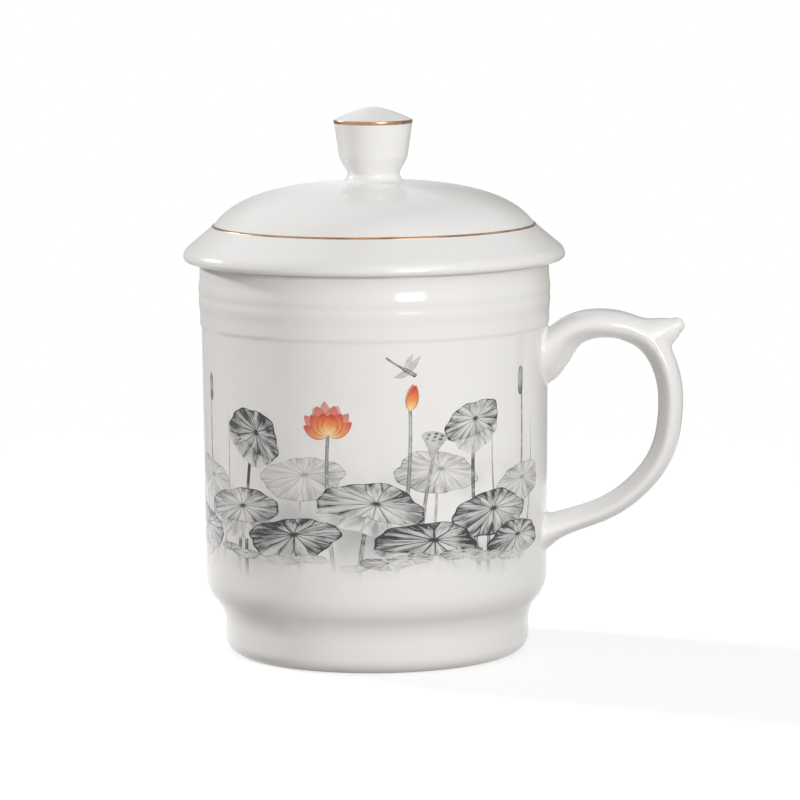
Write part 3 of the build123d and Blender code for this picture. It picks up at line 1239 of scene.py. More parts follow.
@dataclass(frozen=True)
class Lid:
    """Cast lid with its gold line: round rim, flare, dome, hollow underside and locating skirt."""

    seat: float = 96.0 * MM
    rim_radius: float = 46.4 * MM
    rim_round: float = 1.2 * MM
    rim_swell: float = 3.2 * MM
    rim_turn: float = math.radians(8.0)
    rim_steps: int = 14
    gold_radius: float = 38.8 * MM
    gold_height: float = 104.8 * MM
    gold_width: float = 0.8 * MM
    gold_gap: float = 0.09 * MM
    gold_rise: float = 0.1 * MM
    crease_round: float = 0.9 * MM
    crease_share: float = 0.07  # of the dome's curve, where the crease has run out
    dome_share: float = 0.1
    dome_steps: int = 40
    crown_height: float = 114.9 * MM
    crown_radius: float = 8.1 * MM
    wall: float = 3.0 * MM
    skirt_radius: float = 38.5 * MM
    skirt_thickness: float = 2.6 * MM
    skirt_bottom: float = 89.5 * MM
    skirt_round_share: float = 0.49
    seat_round: float = 0.8 * MM
    segments: int = 288

    DOME_SHARES = ((0.935, 0.33), (0.79, 0.90))
    HOLLOW_SHARES = ((0.60, 1.0), (1.0, 0.55))

    def rim_centres(self) -> tuple[Point, Point]:
        """Centres of the tight arc under the rim and of the fuller arc above it."""
        out, up = self.rim_radius - self.rim_round, self.seat + self.rim_round
        shift = self.rim_round - self.rim_swell
        return (out, up), (out + math.cos(self.rim_turn) * shift, up + math.sin(self.rim_turn) * shift)

    def flare_start(self) -> Point:
        """Point where the flare leaves the round rim for the gold line.

        Returns:
            Its radius and height.
        """
        centre = self.rim_centres()[1]
        out, up = self.gold_radius - centre[0], self.gold_height - centre[1]
        turn = math.atan2(up, out) - math.acos(self.rim_swell / math.hypot(out, up))
        return centre[0] + math.cos(turn) * self.rim_swell, centre[1] + math.sin(turn) * self.rim_swell

    def profile(self) -> Profile:
        """Draws the half section.

        Returns:
            The section, from the top of the hollow, round the skirt and the rim, to the crown.
        """
        top, spring = self.crown_height - self.wall, self.gold_height - self.wall
        inside = self.skirt_radius - self.skirt_thickness
        hollow = [(inside * out, spring + (top - spring) * up) for out, up in self.HOLLOW_SHARES]
        skirt_round = self.skirt_thickness * self.skirt_round_share
        section = Profile()
        section.corner(0.0, top)
        section.curve(*hollow, (inside, spring))
        section.corner(inside, self.skirt_bottom, skirt_round)
        section.corner(self.skirt_radius, self.skirt_bottom, skirt_round)
        section.corner(self.skirt_radius, self.seat, self.seat_round)
        self.rim(section)
        section.corner(self.gold_radius, self.gold_height, self.crease_round)
        self.dome(section)
        section.corner(0.0, self.crown_height)
        return section

    def rim(self, section: Profile) -> None:
        """Adds the round rim, from under its edge to the start of the flare.

        Args:
            section: the lid's section up to there.
        """
        tight, full = self.rim_centres()
        start = self.flare_start()
        end = math.atan2(start[1] - full[1], start[0] - full[0])
        under = np.linspace(-math.pi / 2, self.rim_turn, self.rim_steps)
        above = np.linspace(self.rim_turn, end, self.rim_steps)[1:]
        for (out, up), radius, angles in ((tight, self.rim_round, under), (full, self.rim_swell, above)):
            for angle in angles:
                section.corner(out + math.cos(angle) * radius, up + math.sin(angle) * radius)

    def dome(self, section: Profile) -> None:
        """Adds the dome, from just above the gold line to the crown.

        Args:
            section: the lid's section up to there.
        """
        rise = self.crown_height - self.gold_height
        middle = [(self.gold_radius * out, self.gold_height + rise * up) for out, up in self.DOME_SHARES]
        ends = (self.gold_radius, self.gold_height), (self.crown_radius, self.crown_height)
        curve = np.array([ends[0], *middle, ends[1]])
        for share in (self.crease_share, *np.linspace(self.dome_share, 1.0, self.dome_steps)):
            section.corner(*bezier(curve, share))

    def gold_profile(self) -> Profile:
        """Draws the gold line on the flare, along the foot of the dome.

        Returns:
            Its closed section.
        """
        start = np.array(self.flare_start())
        crease = np.array((self.gold_radius, self.gold_height))
        down = (start - crease) / np.linalg.norm(start - crease)
        out = np.array((-down[1], down[0]))
        low, high = crease + down * self.gold_width, crease + down * self.gold_gap
        return gold_bead(low, high, out, self.gold_rise)

    def build(self, wheel: Wheel, finish: Material, gold: Material) -> None:
        """Throws the lid and bands it with gold.

        Args:
            wheel: the rule.
            finish: material of the porcelain.
            gold: material of the line.
        """
        for name, profile, material, slot, node in (
            ("lid_porcelain", self.profile(), finish, Slot.PORCELAIN, "lid"),
            ("lid_gold", self.gold_profile(), gold, Slot.GOLD, "lid_gold_line"),
        ):
            settle(wheel.throw(name, profile, material, self.segments), Body.LID, slot, node)


@dataclass(frozen=True)
class Knob:
    """Cast knob on its slip: waisted stem, flaring flank, gold rim and low cap."""

    bottom: float = 115.3 * MM
    height: float = 17.7 * MM
    radius: float = 9.6 * MM
    base_radius: float = 6.7 * MM
    rim_share: float = 0.777
    rim_round: float = 0.3 * MM
    gold_width: float = 0.9 * MM
    gold_rise: float = 0.12 * MM
    slip_radius: float = 8.4 * MM
    slip_height: float = 1.5 * MM
    slip_inset: float = 1.6 * MM
    slip_sink: float = 0.45 * MM
    slip_bite: float = 0.35 * MM
    slip_bend: Point = (0.1 * MM, 0.3 * MM)  # in from the base's edge and down from it
    slip_steps: int = 14
    segments: int = 160

    WAIST_SHARES = ((0.52, 0.08), (0.835, 0.216), (0.874, 0.35))
    CAP_SHARES = ((0.905, 0.848), (0.337, 1.0), (0.0, 1.0))

    @property
    def land(self) -> float:
        """Radius of the land that the gold lies on."""
        return self.radius - self.gold_rise

    @property
    def rim(self) -> float:
        """Height of the land's lower edge."""
        return self.bottom + self.height * self.rim_share

    def share(self, out: float, up: float) -> Point:
        """Point of the profile from shares of the radius and the height."""
        return self.radius * out, self.bottom + self.height * up

    def profile(self) -> Profile:
        """Draws the half section.

        Returns:
            The section, from the middle of the base to the apex.
        """
        section = Profile()
        section.corner(0.0, self.bottom)
        section.corner(self.base_radius, self.bottom)
        section.curve(*(self.share(*shares) for shares in self.WAIST_SHARES))
        section.corner(self.land, self.rim, self.rim_round)
        section.corner(self.land, self.rim + self.gold_width)
        section.curve(*(self.share(*shares) for shares in self.CAP_SHARES))
        return section

    def slip_profile(self) -> Profile:
        """Draws the slip's fillet round the base.

        Returns:
            Its closed section.
        """
        crown, top = self.bottom - self.slip_sink, self.bottom + self.slip_height
        inner = self.base_radius - self.slip_inset
        bend = (self.base_radius - self.slip_bend[0], self.bottom - self.slip_bend[1])
        section = Profile()
        section.corner(inner, crown)
        section.corner(self.slip_radius, crown)
        section.curve(bend, (self.base_radius - self.slip_bite, top), steps=self.slip_steps)
        section.corner(inner, top)
        section.corner(inner, crown)
        return section

    def gold_profile(self) -> Profile:
        """Closed section of the gold round the rim."""
        low, high = np.array((self.land, self.rim)), np.array((self.land, self.rim + self.gold_width))
        return gold_bead(low, high, np.array((1.0, 0.0)), self.gold_rise)

    def build(self, wheel: Wheel, finish: Material, gold: Material) -> None:
        """Throws the knob, its slip and its gold rim.

        Args:
            wheel: the rule.
            finish: material of the porcelain and the slip.
            gold: material of the rim.
        """
        for name, profile, material, slot, node in (
            ("knob_porcelain", self.profile(), finish, Slot.PORCELAIN, "lid_knob"),
            ("knob_fillet", self.slip_profile(), finish, Slot.SLIP, "knob_slip"),
            ("knob_gold", self.gold_profile(), gold, Slot.GOLD, "knob_gold_line"),
        ):
            settle(wheel.throw(name, profile, material, self.segments), Body.LID, slot, node)


def placed(points: np.ndarray, tilt: float, spot: Point) -> np.ndarray:
    """Tilts points about the origin, by degrees to the left, and moves them to a spot."""
    turn = math.radians(tilt)
    spin = np.array(((math.cos(turn), math.sin(turn)), (-math.sin(turn), math.cos(turn))))
    return points @ spin + np.array(spot)


def bow(start: Point | np.ndarray, end: Point | np.ndarray, sag: float, steps: int = 30) -> np.ndarray:
    """Gently bowed line.

    Args:
        start: its first point.
        end: its last point.
        sag: how far its middle lies to the left of the straight way, as a share of that way.
        steps: how many points it takes.

    Returns:
        Its points, one a row.
    """
    share = np.linspace(0.0, 1.0, steps)[:, None]
    first, way = np.array(start), np.array(end) - np.array(start)
    side = np.array((-way[1], way[0]))
    return first + way * share + side * sag * 4 * share * (1 - share)


class Drawing:
    """Flat plates of ink on the unrolled wall: x along the wall, y out from it, z up.

    Places and sizes on the wall are in millimetres.
    """

    BASE = 0.008 * MM
    STEP = 0.004 * MM
    SINK = 0.08 * MM
    STROKE_COLUMNS = 5
    OVAL_SIDES = 32
    OVAL_RINGS = 4
    STEM_SAG = 0.03
    STEM_TAPER = (1.15, 0.85)  # shares of the half width at the water and at the top

    def __init__(self) -> None:
        """Starts with a bare wall."""
        self.places: list[np.ndarray] = []
        self.faces: list[np.ndarray] = []
        self.grain: list[np.ndarray] = []
        self.tone: list[np.ndarray] = []
        self.count = 0

    def plate(
        self, points: np.ndarray, grain: np.ndarray, layer: float, tone: float, disc: bool = False
    ) -> None:
        """Adds a closed plate.

        Args:
            points: rows and columns of places on the wall.
            grain: the plate's own two coordinates and its seed, at the same rows and columns.
            layer: place in the stack of plates.
            tone: how much ink the plate carries.
            disc: whether the rows are rings round a hub and the columns go full circle.
        """
        rows, columns, _ = points.shape
        top = np.arange(rows * columns).reshape(rows, columns)
        quads = [self.quads(top)]
        keep = top[-1:] if disc else top[:, [0, -1]]
        base = rows * columns + np.arange(keep.size).reshape(keep.shape)
        if disc:
            hub = np.full(columns - 1, rows * columns + keep.size)
            fan = np.column_stack([base[0, 1:], base[0, :-1], hub, hub])
            quads += [fan, self.quads(np.vstack([top[-1], base[0]]))]
            picked = np.concatenate([keep.ravel(), top[0, :1]])
        else:
            around = np.column_stack([top[:, -1], base[:, 1], base[:, 0], top[:, 0]])
            quads += [self.quads(around), around[:1, ::-1], around[-1:]]
            picked = keep.ravel()
        flat = points.reshape(-1, 2) * MM
        lift, sink = self.BASE + layer * self.STEP, -self.SINK - layer * self.STEP
        upper = np.column_stack([flat[:, 0], np.full(len(flat), lift), flat[:, 1]])
        lower = np.column_stack([flat[picked, 0], np.full(len(picked), sink), flat[picked, 1]])
        coords = grain.reshape(-1, 3)
        self.places += [upper, lower]
        self.grain += [coords, coords[picked]]
        self.tone.append(np.full(len(upper) + len(lower), tone))
        self.faces.append(np.vstack(quads) + self.count)
        self.count += len(upper) + len(lower)

    @staticmethod
    def quads(grid: np.ndarray) -> np.ndarray:
        """Four-sided faces between the rows and columns of a grid of point numbers."""
        corners = grid[:-1, :-1], grid[:-1, 1:], grid[1:, 1:], grid[1:, :-1]
        return np.column_stack([corner.ravel() for corner in corners])

    def ribbon(
        self, line: np.ndarray, offsets: np.ndarray, columns: int, layer: float, tone: float, seed: float
    ) -> None:
        """Draws a ribbon along a line.

        Args:
            line: points of its middle.
            offsets: way from each point to its edge.
            columns: points across it.
            layer: place in the stack.
            tone: how much ink it carries.
            seed: number that sets its grain apart.
        """
        across = np.linspace(-1.0, 1.0, columns)
        points = line[:, None] + offsets[:, None] * across[None, :, None]
        along = np.linspace(0.0, 1.0, len(line))
        coords = np.broadcast_arrays(along[:, None], across[None], np.full((1, 1), seed))
        self.plate(points, np.stack(coords, axis=2), layer, tone)

    def stroke(self, line: np.ndarray, halves: np.ndarray, layer: float, tone: float, seed: float) -> None:
        """Draws a brush stroke along a line.

        Args:
            line: points of its middle.
            halves: half width at each point.
            layer: place in the stack.
            tone: how much ink it carries.
            seed: number that sets its grain apart.
        """
        ahead = np.gradient(line, axis=0)
        ahead /= np.linalg.norm(ahead, axis=1)[:, None]
        offsets = np.column_stack([-ahead[:, 1], ahead[:, 0]]) * halves[:, None]
        self.ribbon(line, offsets, self.STROKE_COLUMNS, layer, tone, seed)

    def stem(self, foot: Point, head: Point, half: float, layer: float, tone: float) -> None:
        """Draws a stem of a given half width, from the water up to what it carries."""
        line = bow(foot, head, self.STEM_SAG * math.copysign(1.0, math.sin(foot[0])))
        low, high = self.STEM_TAPER
        self.stroke(line, np.linspace(half * low, half * high, len(line)), layer, tone, foot[0])

    def oval(self, centre: Point, half: Point, tilt: float, layer: float, tone: float) -> None:
        """Draws a filled oval.

        Args:
            centre: its middle.
            half: half width and half height.
            tilt: degrees, positive to the left.
            layer: place in the stack.
            tone: how much ink it carries.
        """
        turn = np.linspace(0.0, math.tau, self.OVAL_SIDES + 1)
        ray = np.linspace(0.0, 1.0, self.OVAL_RINGS + 1)[:, None]
        rim = np.column_stack([half[0] * np.cos(turn), half[1] * np.sin(turn)])
        points = placed(rim[None] * ray[:, :, None], tilt, centre)
        coords = np.broadcast_arrays(ray, ray, np.full((1, len(turn)), centre[0]))
        self.plate(points, np.stack(coords, axis=2), layer, tone, disc=True)

    def seed(self, name: str) -> Mesh:
        """Makes a flat mesh of the drawing.

        Args:
            name: name of the mesh.

        Returns:
            The mesh, which carries its own coordinates and tones.
        """
        mesh = bpy.data.meshes.new(name)
        faces = [tuple(dict.fromkeys(face)) for face in np.vstack(self.faces).tolist()]
        mesh.from_pydata(np.vstack(self.places).tolist(), [], faces)
        carry(mesh, "grain", np.vstack(self.grain))
        carry(mesh, "tone", np.concatenate(self.tone))
        return mesh


class Wrap:
    """The rule that lays a flat drawing round the cup's wall."""

    MERGE = 0.0006 * MM

    def __init__(self) -> None:
        """Builds the tree, which keeps lengths true at the wall's mean radius."""
        self.rule = Rule("laid_round_the_wall")
        graph, size = self.rule.graph, self.rule.size
        low, top = size("Wall low"), size("Wall top")
        foot, head = size("Shoulder"), size("Ledge foot")
        along, out, height = graph.split(graph.field("GeometryNodeInputPosition"))
        radius = low + (top - low) * ((height - foot) / (head - foot)) + out
        place = graph.round_axis(along * 2.0 / (low + top) - math.pi / 2, radius, height)
        laid = graph.field("GeometryNodeSetPosition", {"Geometry": self.rule.seed, "Position": place})
        feeds = {"Geometry": laid, "Distance": self.MERGE}
        self.rule.close(graph.field("GeometryNodeMergeByDistance", feeds))

    def lay(self, name: str, drawing: Drawing, cup: Cup, ink: Material) -> Object:
        """Lays a flat drawing on the cup, in one ink."""
        sizes = cup.wall_sizes() | {"ledge_foot": cup.ledge_foot}
        return self.rule.grow(name, drawing.seed(name + "_flat"), material=ink, **sizes)


class Depth(Enum):
    """How near a plant stands, with the layers of its stem, its leaf and the leaf's fold."""

    BACK = (2, 3, 5)
    MIDDLE = (6, 7, 9)
    FRONT = (10, 11, 13)
    TALL = (6, 14, 16)
    WATER = (10, 14, 16)

    def __init__(self, stem: int, leaf: int, fold: int) -> None:
        """Names the three layers."""
        self.stem = stem
        self.leaf = leaf
        self.fold = fold


NEAREST = 17  # first layer in front of every leaf


@dataclass(frozen=True)
class LotusLeaf:
    """One leaf of the picture, seen aslant, with its stem. Some have a front edge that curls over."""

    along: float
    height: float
    half_width: float
    half_height: float
    tilt: float
    tone: float
    depth: Depth
    folded: bool = False

    RINGS = 14
    SIDES = 84
    EDGE_WAVES = ((3, 0.055), (5, 0.04), (11, 0.022))  # waves round the edge, and their share of the ray
    HUB_SHARES = (0.10, 0.22)
    SEEDS = 40.0
    FOLD_SPAN = (0.55, 0.93)  # shares of the way round the edge
    FOLD_PULL = 0.46
    FOLD_POWER = 0.8
    FOLD_LIP = 0.12
    FOLD_COLUMNS = 8
    FOLD_RAY = 0.62
    FOLD_SEED = 3.3
    FOLD_TONE = 0.62
    STEM_SWAY = 4.0
    STEM_HALF = 0.5
    FAR_STEM_HALF = 0.34
    STEM_TONE = 0.85

    def draw(self, sheet: Drawing, index: int, chance: np.random.Generator) -> None:
        """Draws the leaf and its fold.

        Args:
            sheet: drawing that takes it.
            index: its number, by which neighbours take layers in turn.
            chance: source of its uneven edge.
        """
        turn = np.linspace(0.0, math.tau, self.SIDES + 1)
        edge = np.ones_like(turn)
        for count, size in self.EDGE_WAVES:
            edge += size * np.sin(count * turn + chance.uniform(0, math.tau))
        edge[-1] = edge[0]
        spokes = np.column_stack([np.cos(turn), np.sin(turn)])
        rim = spokes * (self.half_width, self.half_height) * edge[:, None]
        hub = np.array(self.HUB_SHARES) * (self.half_width, self.half_height)
        ray = np.linspace(0.0, 1.0, self.RINGS + 1)[:, None, None]
        points = placed(hub * (1 - ray) + rim[None] * ray, self.tilt, (self.along, self.height))
        seed = chance.uniform(0.0, self.SEEDS)
        grain = np.concatenate([ray * spokes[None], np.full((*points.shape[:2], 1), seed)], axis=2)
        sheet.plate(points, grain, self.depth.leaf + index % 2, self.tone, disc=True)
        if self.folded:
            self.fold(sheet, rim, hub, seed)

    def fold(self, sheet: Drawing, rim: np.ndarray, hub: np.ndarray, seed: float) -> None:
        """Draws the part of the front edge that curls over.

        Args:
            sheet: drawing that takes it.
            rim: points of the leaf's edge, about its middle.
            hub: where the veins meet, about its middle.
            seed: the leaf's grain.
        """
        first, last = (round(share * self.SIDES) for share in self.FOLD_SPAN)
        outer = rim[first : last + 1]
        swell = np.sin(math.pi * np.linspace(0.0, 1.0, len(outer)))[:, None]
        inner = outer + (hub - outer) * self.FOLD_PULL * swell**self.FOLD_POWER
        lip = outer - (hub - outer) * self.FOLD_LIP * swell
        across = np.linspace(0.0, 1.0, self.FOLD_COLUMNS)[None, :, None]
        curl = inner[:, None] * (1 - across) + lip[:, None] * across
        turn = np.linspace(*self.FOLD_SPAN, len(outer))[:, None] * math.tau
        ray = 1.0 - self.FOLD_RAY * across[:, :, 0]
        x, y = ray * np.cos(turn), ray * np.sin(turn)
        grain = np.stack([x, y, np.full_like(x, seed + self.FOLD_SEED)], axis=2)
        points = placed(curl, self.tilt, (self.along, self.height))
        sheet.plate(points, grain, self.depth.fold, self.tone * self.FOLD_TONE)

    def draw_stem(self, sheet: Drawing, water: float, chance: np.random.Generator) -> None:
        """Draws the stem, which leaves the water a little aside by chance."""
        foot = (self.along + chance.uniform(-self.STEM_SWAY, self.STEM_SWAY), water)
        half = self.FAR_STEM_HALF if self.depth is Depth.BACK else self.STEM_HALF
        sheet.stem(foot, (self.along, self.height), half, self.depth.stem, self.tone * self.STEM_TONE)


@dataclass(frozen=True)
class Petal:
    """One petal of a flower: turn from upright and bend in degrees, sizes in shares of the flower."""

    turn: float
    bend: float
    length: float
    half_width: float
    tone: float


class Stage(Enum):
    """How far a flower has opened, with its petals, the farthest first."""

    OPEN = (
        Petal(-30.0, 10.0, 1.00, 0.25, 0.62),
        Petal(28.0, -8.0, 1.02, 0.25, 0.62),
        Petal(-4.0, 4.0, 1.10, 0.26, 0.70),
        Petal(-62.0, 26.0, 1.02, 0.24, 0.80),
        Petal(60.0, -24.0, 1.00, 0.24, 0.80),
        Petal(-20.0, 2.0, 1.00, 0.27, 0.86),
        Petal(18.0, 0.0, 0.98, 0.27, 0.86),
        Petal(-88.0, 40.0, 0.90, 0.22, 0.95),
        Petal(86.0, -42.0, 0.92, 0.22, 0.95),
        Petal(-46.0, 14.0, 0.86, 0.27, 0.95),
        Petal(44.0, -14.0, 0.84, 0.27, 0.95),
        Petal(-14.0, 6.0, 0.72, 0.29, 1.00),
        Petal(20.0, -8.0, 0.70, 0.28, 1.00),
    )
    BUD = (
        Petal(-9.0, 12.0, 1.00, 0.20, 0.75),
        Petal(10.0, -13.0, 0.98, 0.20, 0.80),
        Petal(1.0, 0.0, 0.96, 0.21, 1.00),
    )


@dataclass(frozen=True)
class Flower:
    """A lotus flower on its stem."""

    along: float
    height: float
    size: float
    lean: float
    stage: Stage

    ROWS = 22
    COLUMNS = 11
    FOOT_POWER = 0.8  # moves a petal's widest place
    SIDE_POWER = 0.75  # makes its sides fuller
    SEED_STEP = 0.37
    STEM_LEAN = 0.4
    STEM_RISE = 0.6
    STEM_HALF = 0.48
    STEM_TONE = 0.80

    def draw(self, sheet: Drawing) -> None:
        """Draws the petals.

        Args:
            sheet: drawing that takes them.
        """
        share = np.linspace(0.0, 1.0, self.ROWS)
        swell = np.sin(math.pi * share**self.FOOT_POWER) ** self.SIDE_POWER
        swell[[0, -1]] = 0.0
        for index, petal in enumerate(self.stage.value):
            heading = np.radians(petal.turn + self.lean + petal.bend * share)
            ahead = np.column_stack([np.sin(heading), np.cos(heading)])
            steps = ahead * self.size * petal.length / (self.ROWS - 1)
            way = np.vstack([np.zeros((1, 2)), np.cumsum(steps[:-1], axis=0)])
            line = np.array((self.along, self.height)) + way
            halves = self.size * petal.half_width * swell[:, None]
            offsets = np.column_stack([np.cos(heading), -np.sin(heading)]) * halves
            layer, seed = NEAREST + index, self.SEED_STEP * index
            sheet.ribbon(line, offsets, self.COLUMNS, layer, petal.tone, seed)

    def draw_stem(self, sheet: Drawing, water: float) -> None:
        """Draws the stem from the water up into the flower."""
        foot = (self.along - self.STEM_LEAN * self.lean, water)
        head = (self.along, self.height + self.STEM_RISE)
        sheet.stem(foot, head, self.STEM_HALF, Depth.MIDDLE.stem, self.STEM_TONE)


@dataclass(frozen=True)
class Pod:
    """A seed pod on its stem: a cone under a round face with dark seeds. Shares are of its size."""

    along: float
    height: float
    size: float
    lean: float

    CONE_LENGTH = 1.5
    CONE_ROWS = 12
    CONE_FOOT = 0.16
    CONE_POWER = 1.3
    CONE_TONE = 0.55
    FACE_TALL = 0.42
    FACE_TONE = 0.38
    SEED_RINGS = ((0.0, 1), (0.6, 6))  # how far out, and how many
    SEED_TURN = 0.3
    SEED_HALF = (0.15, 0.09)
    SEED_TONE = 0.95
    STEM_LEAN = 0.5
    STEM_HALF = 0.45
    STEM_TONE = 0.80

    def draw(self, sheet: Drawing, water: float) -> None:
        """Draws the pod and its stem.

        Args:
            sheet: drawing that takes them.
            water: height of the water.
        """
        tilt = math.radians(self.lean)
        axis = np.array((math.sin(tilt), math.cos(tilt)))
        down = np.linspace(self.CONE_LENGTH * self.size, 0.0, self.CONE_ROWS)[:, None]
        share = np.linspace(0.0, 1.0, self.CONE_ROWS) ** self.CONE_POWER
        halves = self.size * (self.CONE_FOOT + (1.0 - self.CONE_FOOT) * share)
        spot = (self.along, self.height)
        sheet.stroke(np.array(spot) - axis * down, halves, NEAREST, self.CONE_TONE, self.along)
        face = (self.size, self.FACE_TALL * self.size)
        sheet.oval(spot, face, -self.lean, NEAREST + 1, self.FACE_TONE)
        half = (self.SEED_HALF[0] * self.size, self.SEED_HALF[1] * self.size)
        for out, count in self.SEED_RINGS:
            for number in range(count):
                turn = math.tau * number / count + self.SEED_TURN
                aside, up = out * face[0] * math.cos(turn), out * face[1] * math.sin(turn)
                place = (self.along + aside, self.height + up)
                sheet.oval(place, half, 0.0, NEAREST + 2, self.SEED_TONE)
        foot = (self.along - self.STEM_LEAN * self.lean, water)
        head = (self.along, self.height - self.size)
        sheet.stem(foot, head, self.STEM_HALF, Depth.MIDDLE.stem, self.STEM_TONE)


@dataclass(frozen=True)
class Reed:
    """A reed behind the leaves, which may bear a dark head."""

    along: float
    lean: float
    tip: float
    half_width: float
    tone: float
    bears_head: bool = False

    BEND = -0.012  # bow for each millimetre of lean
    NECK_SHARE = 0.45
    HEAD_START = 0.93
    HEAD_DROP = 6.5
    HEAD_RISE = 0.4
    HEAD_HALF = 0.95
    HEAD_POWERS = (5, 0.5)  # how square its ends are
    HEAD_TONE = 0.95

    def draw(self, sheet: Drawing, water: float) -> None:
        """Draws the reed.

        Args:
            sheet: drawing that takes it.
            water: height of the water.
        """
        line = bow((self.along, water), (self.along + self.lean, self.tip), self.BEND * self.lean)
        halves = self.half_width * np.linspace(1.0, self.NECK_SHARE if self.bears_head else 0.0, len(line))
        sheet.stroke(line, halves, Depth.BACK.stem, self.tone, self.along)
        if self.bears_head:
            foot = (self.along + self.HEAD_START * self.lean, self.tip - self.HEAD_DROP)
            spike = bow(foot, (self.along + self.lean, self.tip + self.HEAD_RISE), 0.0)
            share = np.abs(np.linspace(-1.0, 1.0, len(spike)))
            swell = self.HEAD_HALF * (1.0 - share ** self.HEAD_POWERS[0]) ** self.HEAD_POWERS[1]
            sheet.stroke(spike, swell, Depth.BACK.leaf, self.HEAD_TONE, self.along)


@dataclass(frozen=True)
class Dragonfly:
    """A dragonfly on the wing."""

    along: float
    height: float
    heading: float

    WINGS = ((0.5, 0.35, 4.6), (0.5, -2.6, -3.15), (-0.5, -0.5, 4.2))  # root, sweep, and length to the left
    WING_BEND = 0.03
    WING_HALF = 0.72
    WING_START = 0.02
    WING_POWER = 0.7
    WING_TONE = 0.42
    BODY_REACH = (1.6, -6.0)
    BODY_BEND = 0.02
    BODY_SHARES = (0.0, 0.12, 0.3, 0.4, 1.0)
    BODY_HALVES = (0.45, 0.6, 0.5, 0.26, 0.18)
    BODY_LAYER = 4
    BODY_TONE = 0.98
    HEAD_REACH = 1.9
    HEAD_HALF = (0.5, 0.55)

    def draw(self, sheet: Drawing) -> None:
        """Draws the wings, the body and the head.

        Args:
            sheet: drawing that takes them.
        """
        turn = math.radians(self.heading)
        ahead, side = np.array(((math.cos(turn), math.sin(turn)), (-math.sin(turn), math.cos(turn))))
        middle = np.array((self.along, self.height))
        for number, (place, sweep, length) in enumerate(self.WINGS):
            root = middle + ahead * place
            line = bow(root, root + side * length + ahead * sweep, self.WING_BEND)
            share = np.linspace(self.WING_START, 1.0, len(line)) ** self.WING_POWER
            halves = self.WING_HALF * np.maximum(np.sin(math.pi * share), 0.0)
            sheet.stroke(line, halves, NEAREST + number, self.WING_TONE, self.height + number)
        front, rear = (middle + ahead * reach for reach in self.BODY_REACH)
        line = bow(front, rear, self.BODY_BEND)
        halves = np.interp(np.linspace(0.0, 1.0, len(line)), self.BODY_SHARES, self.BODY_HALVES)
        layer = NEAREST + self.BODY_LAYER
        sheet.stroke(line, halves, layer, self.BODY_TONE, self.along)
        sheet.oval(tuple(middle + ahead * self.HEAD_REACH), self.HEAD_HALF, self.heading, layer + 1, 1.0)


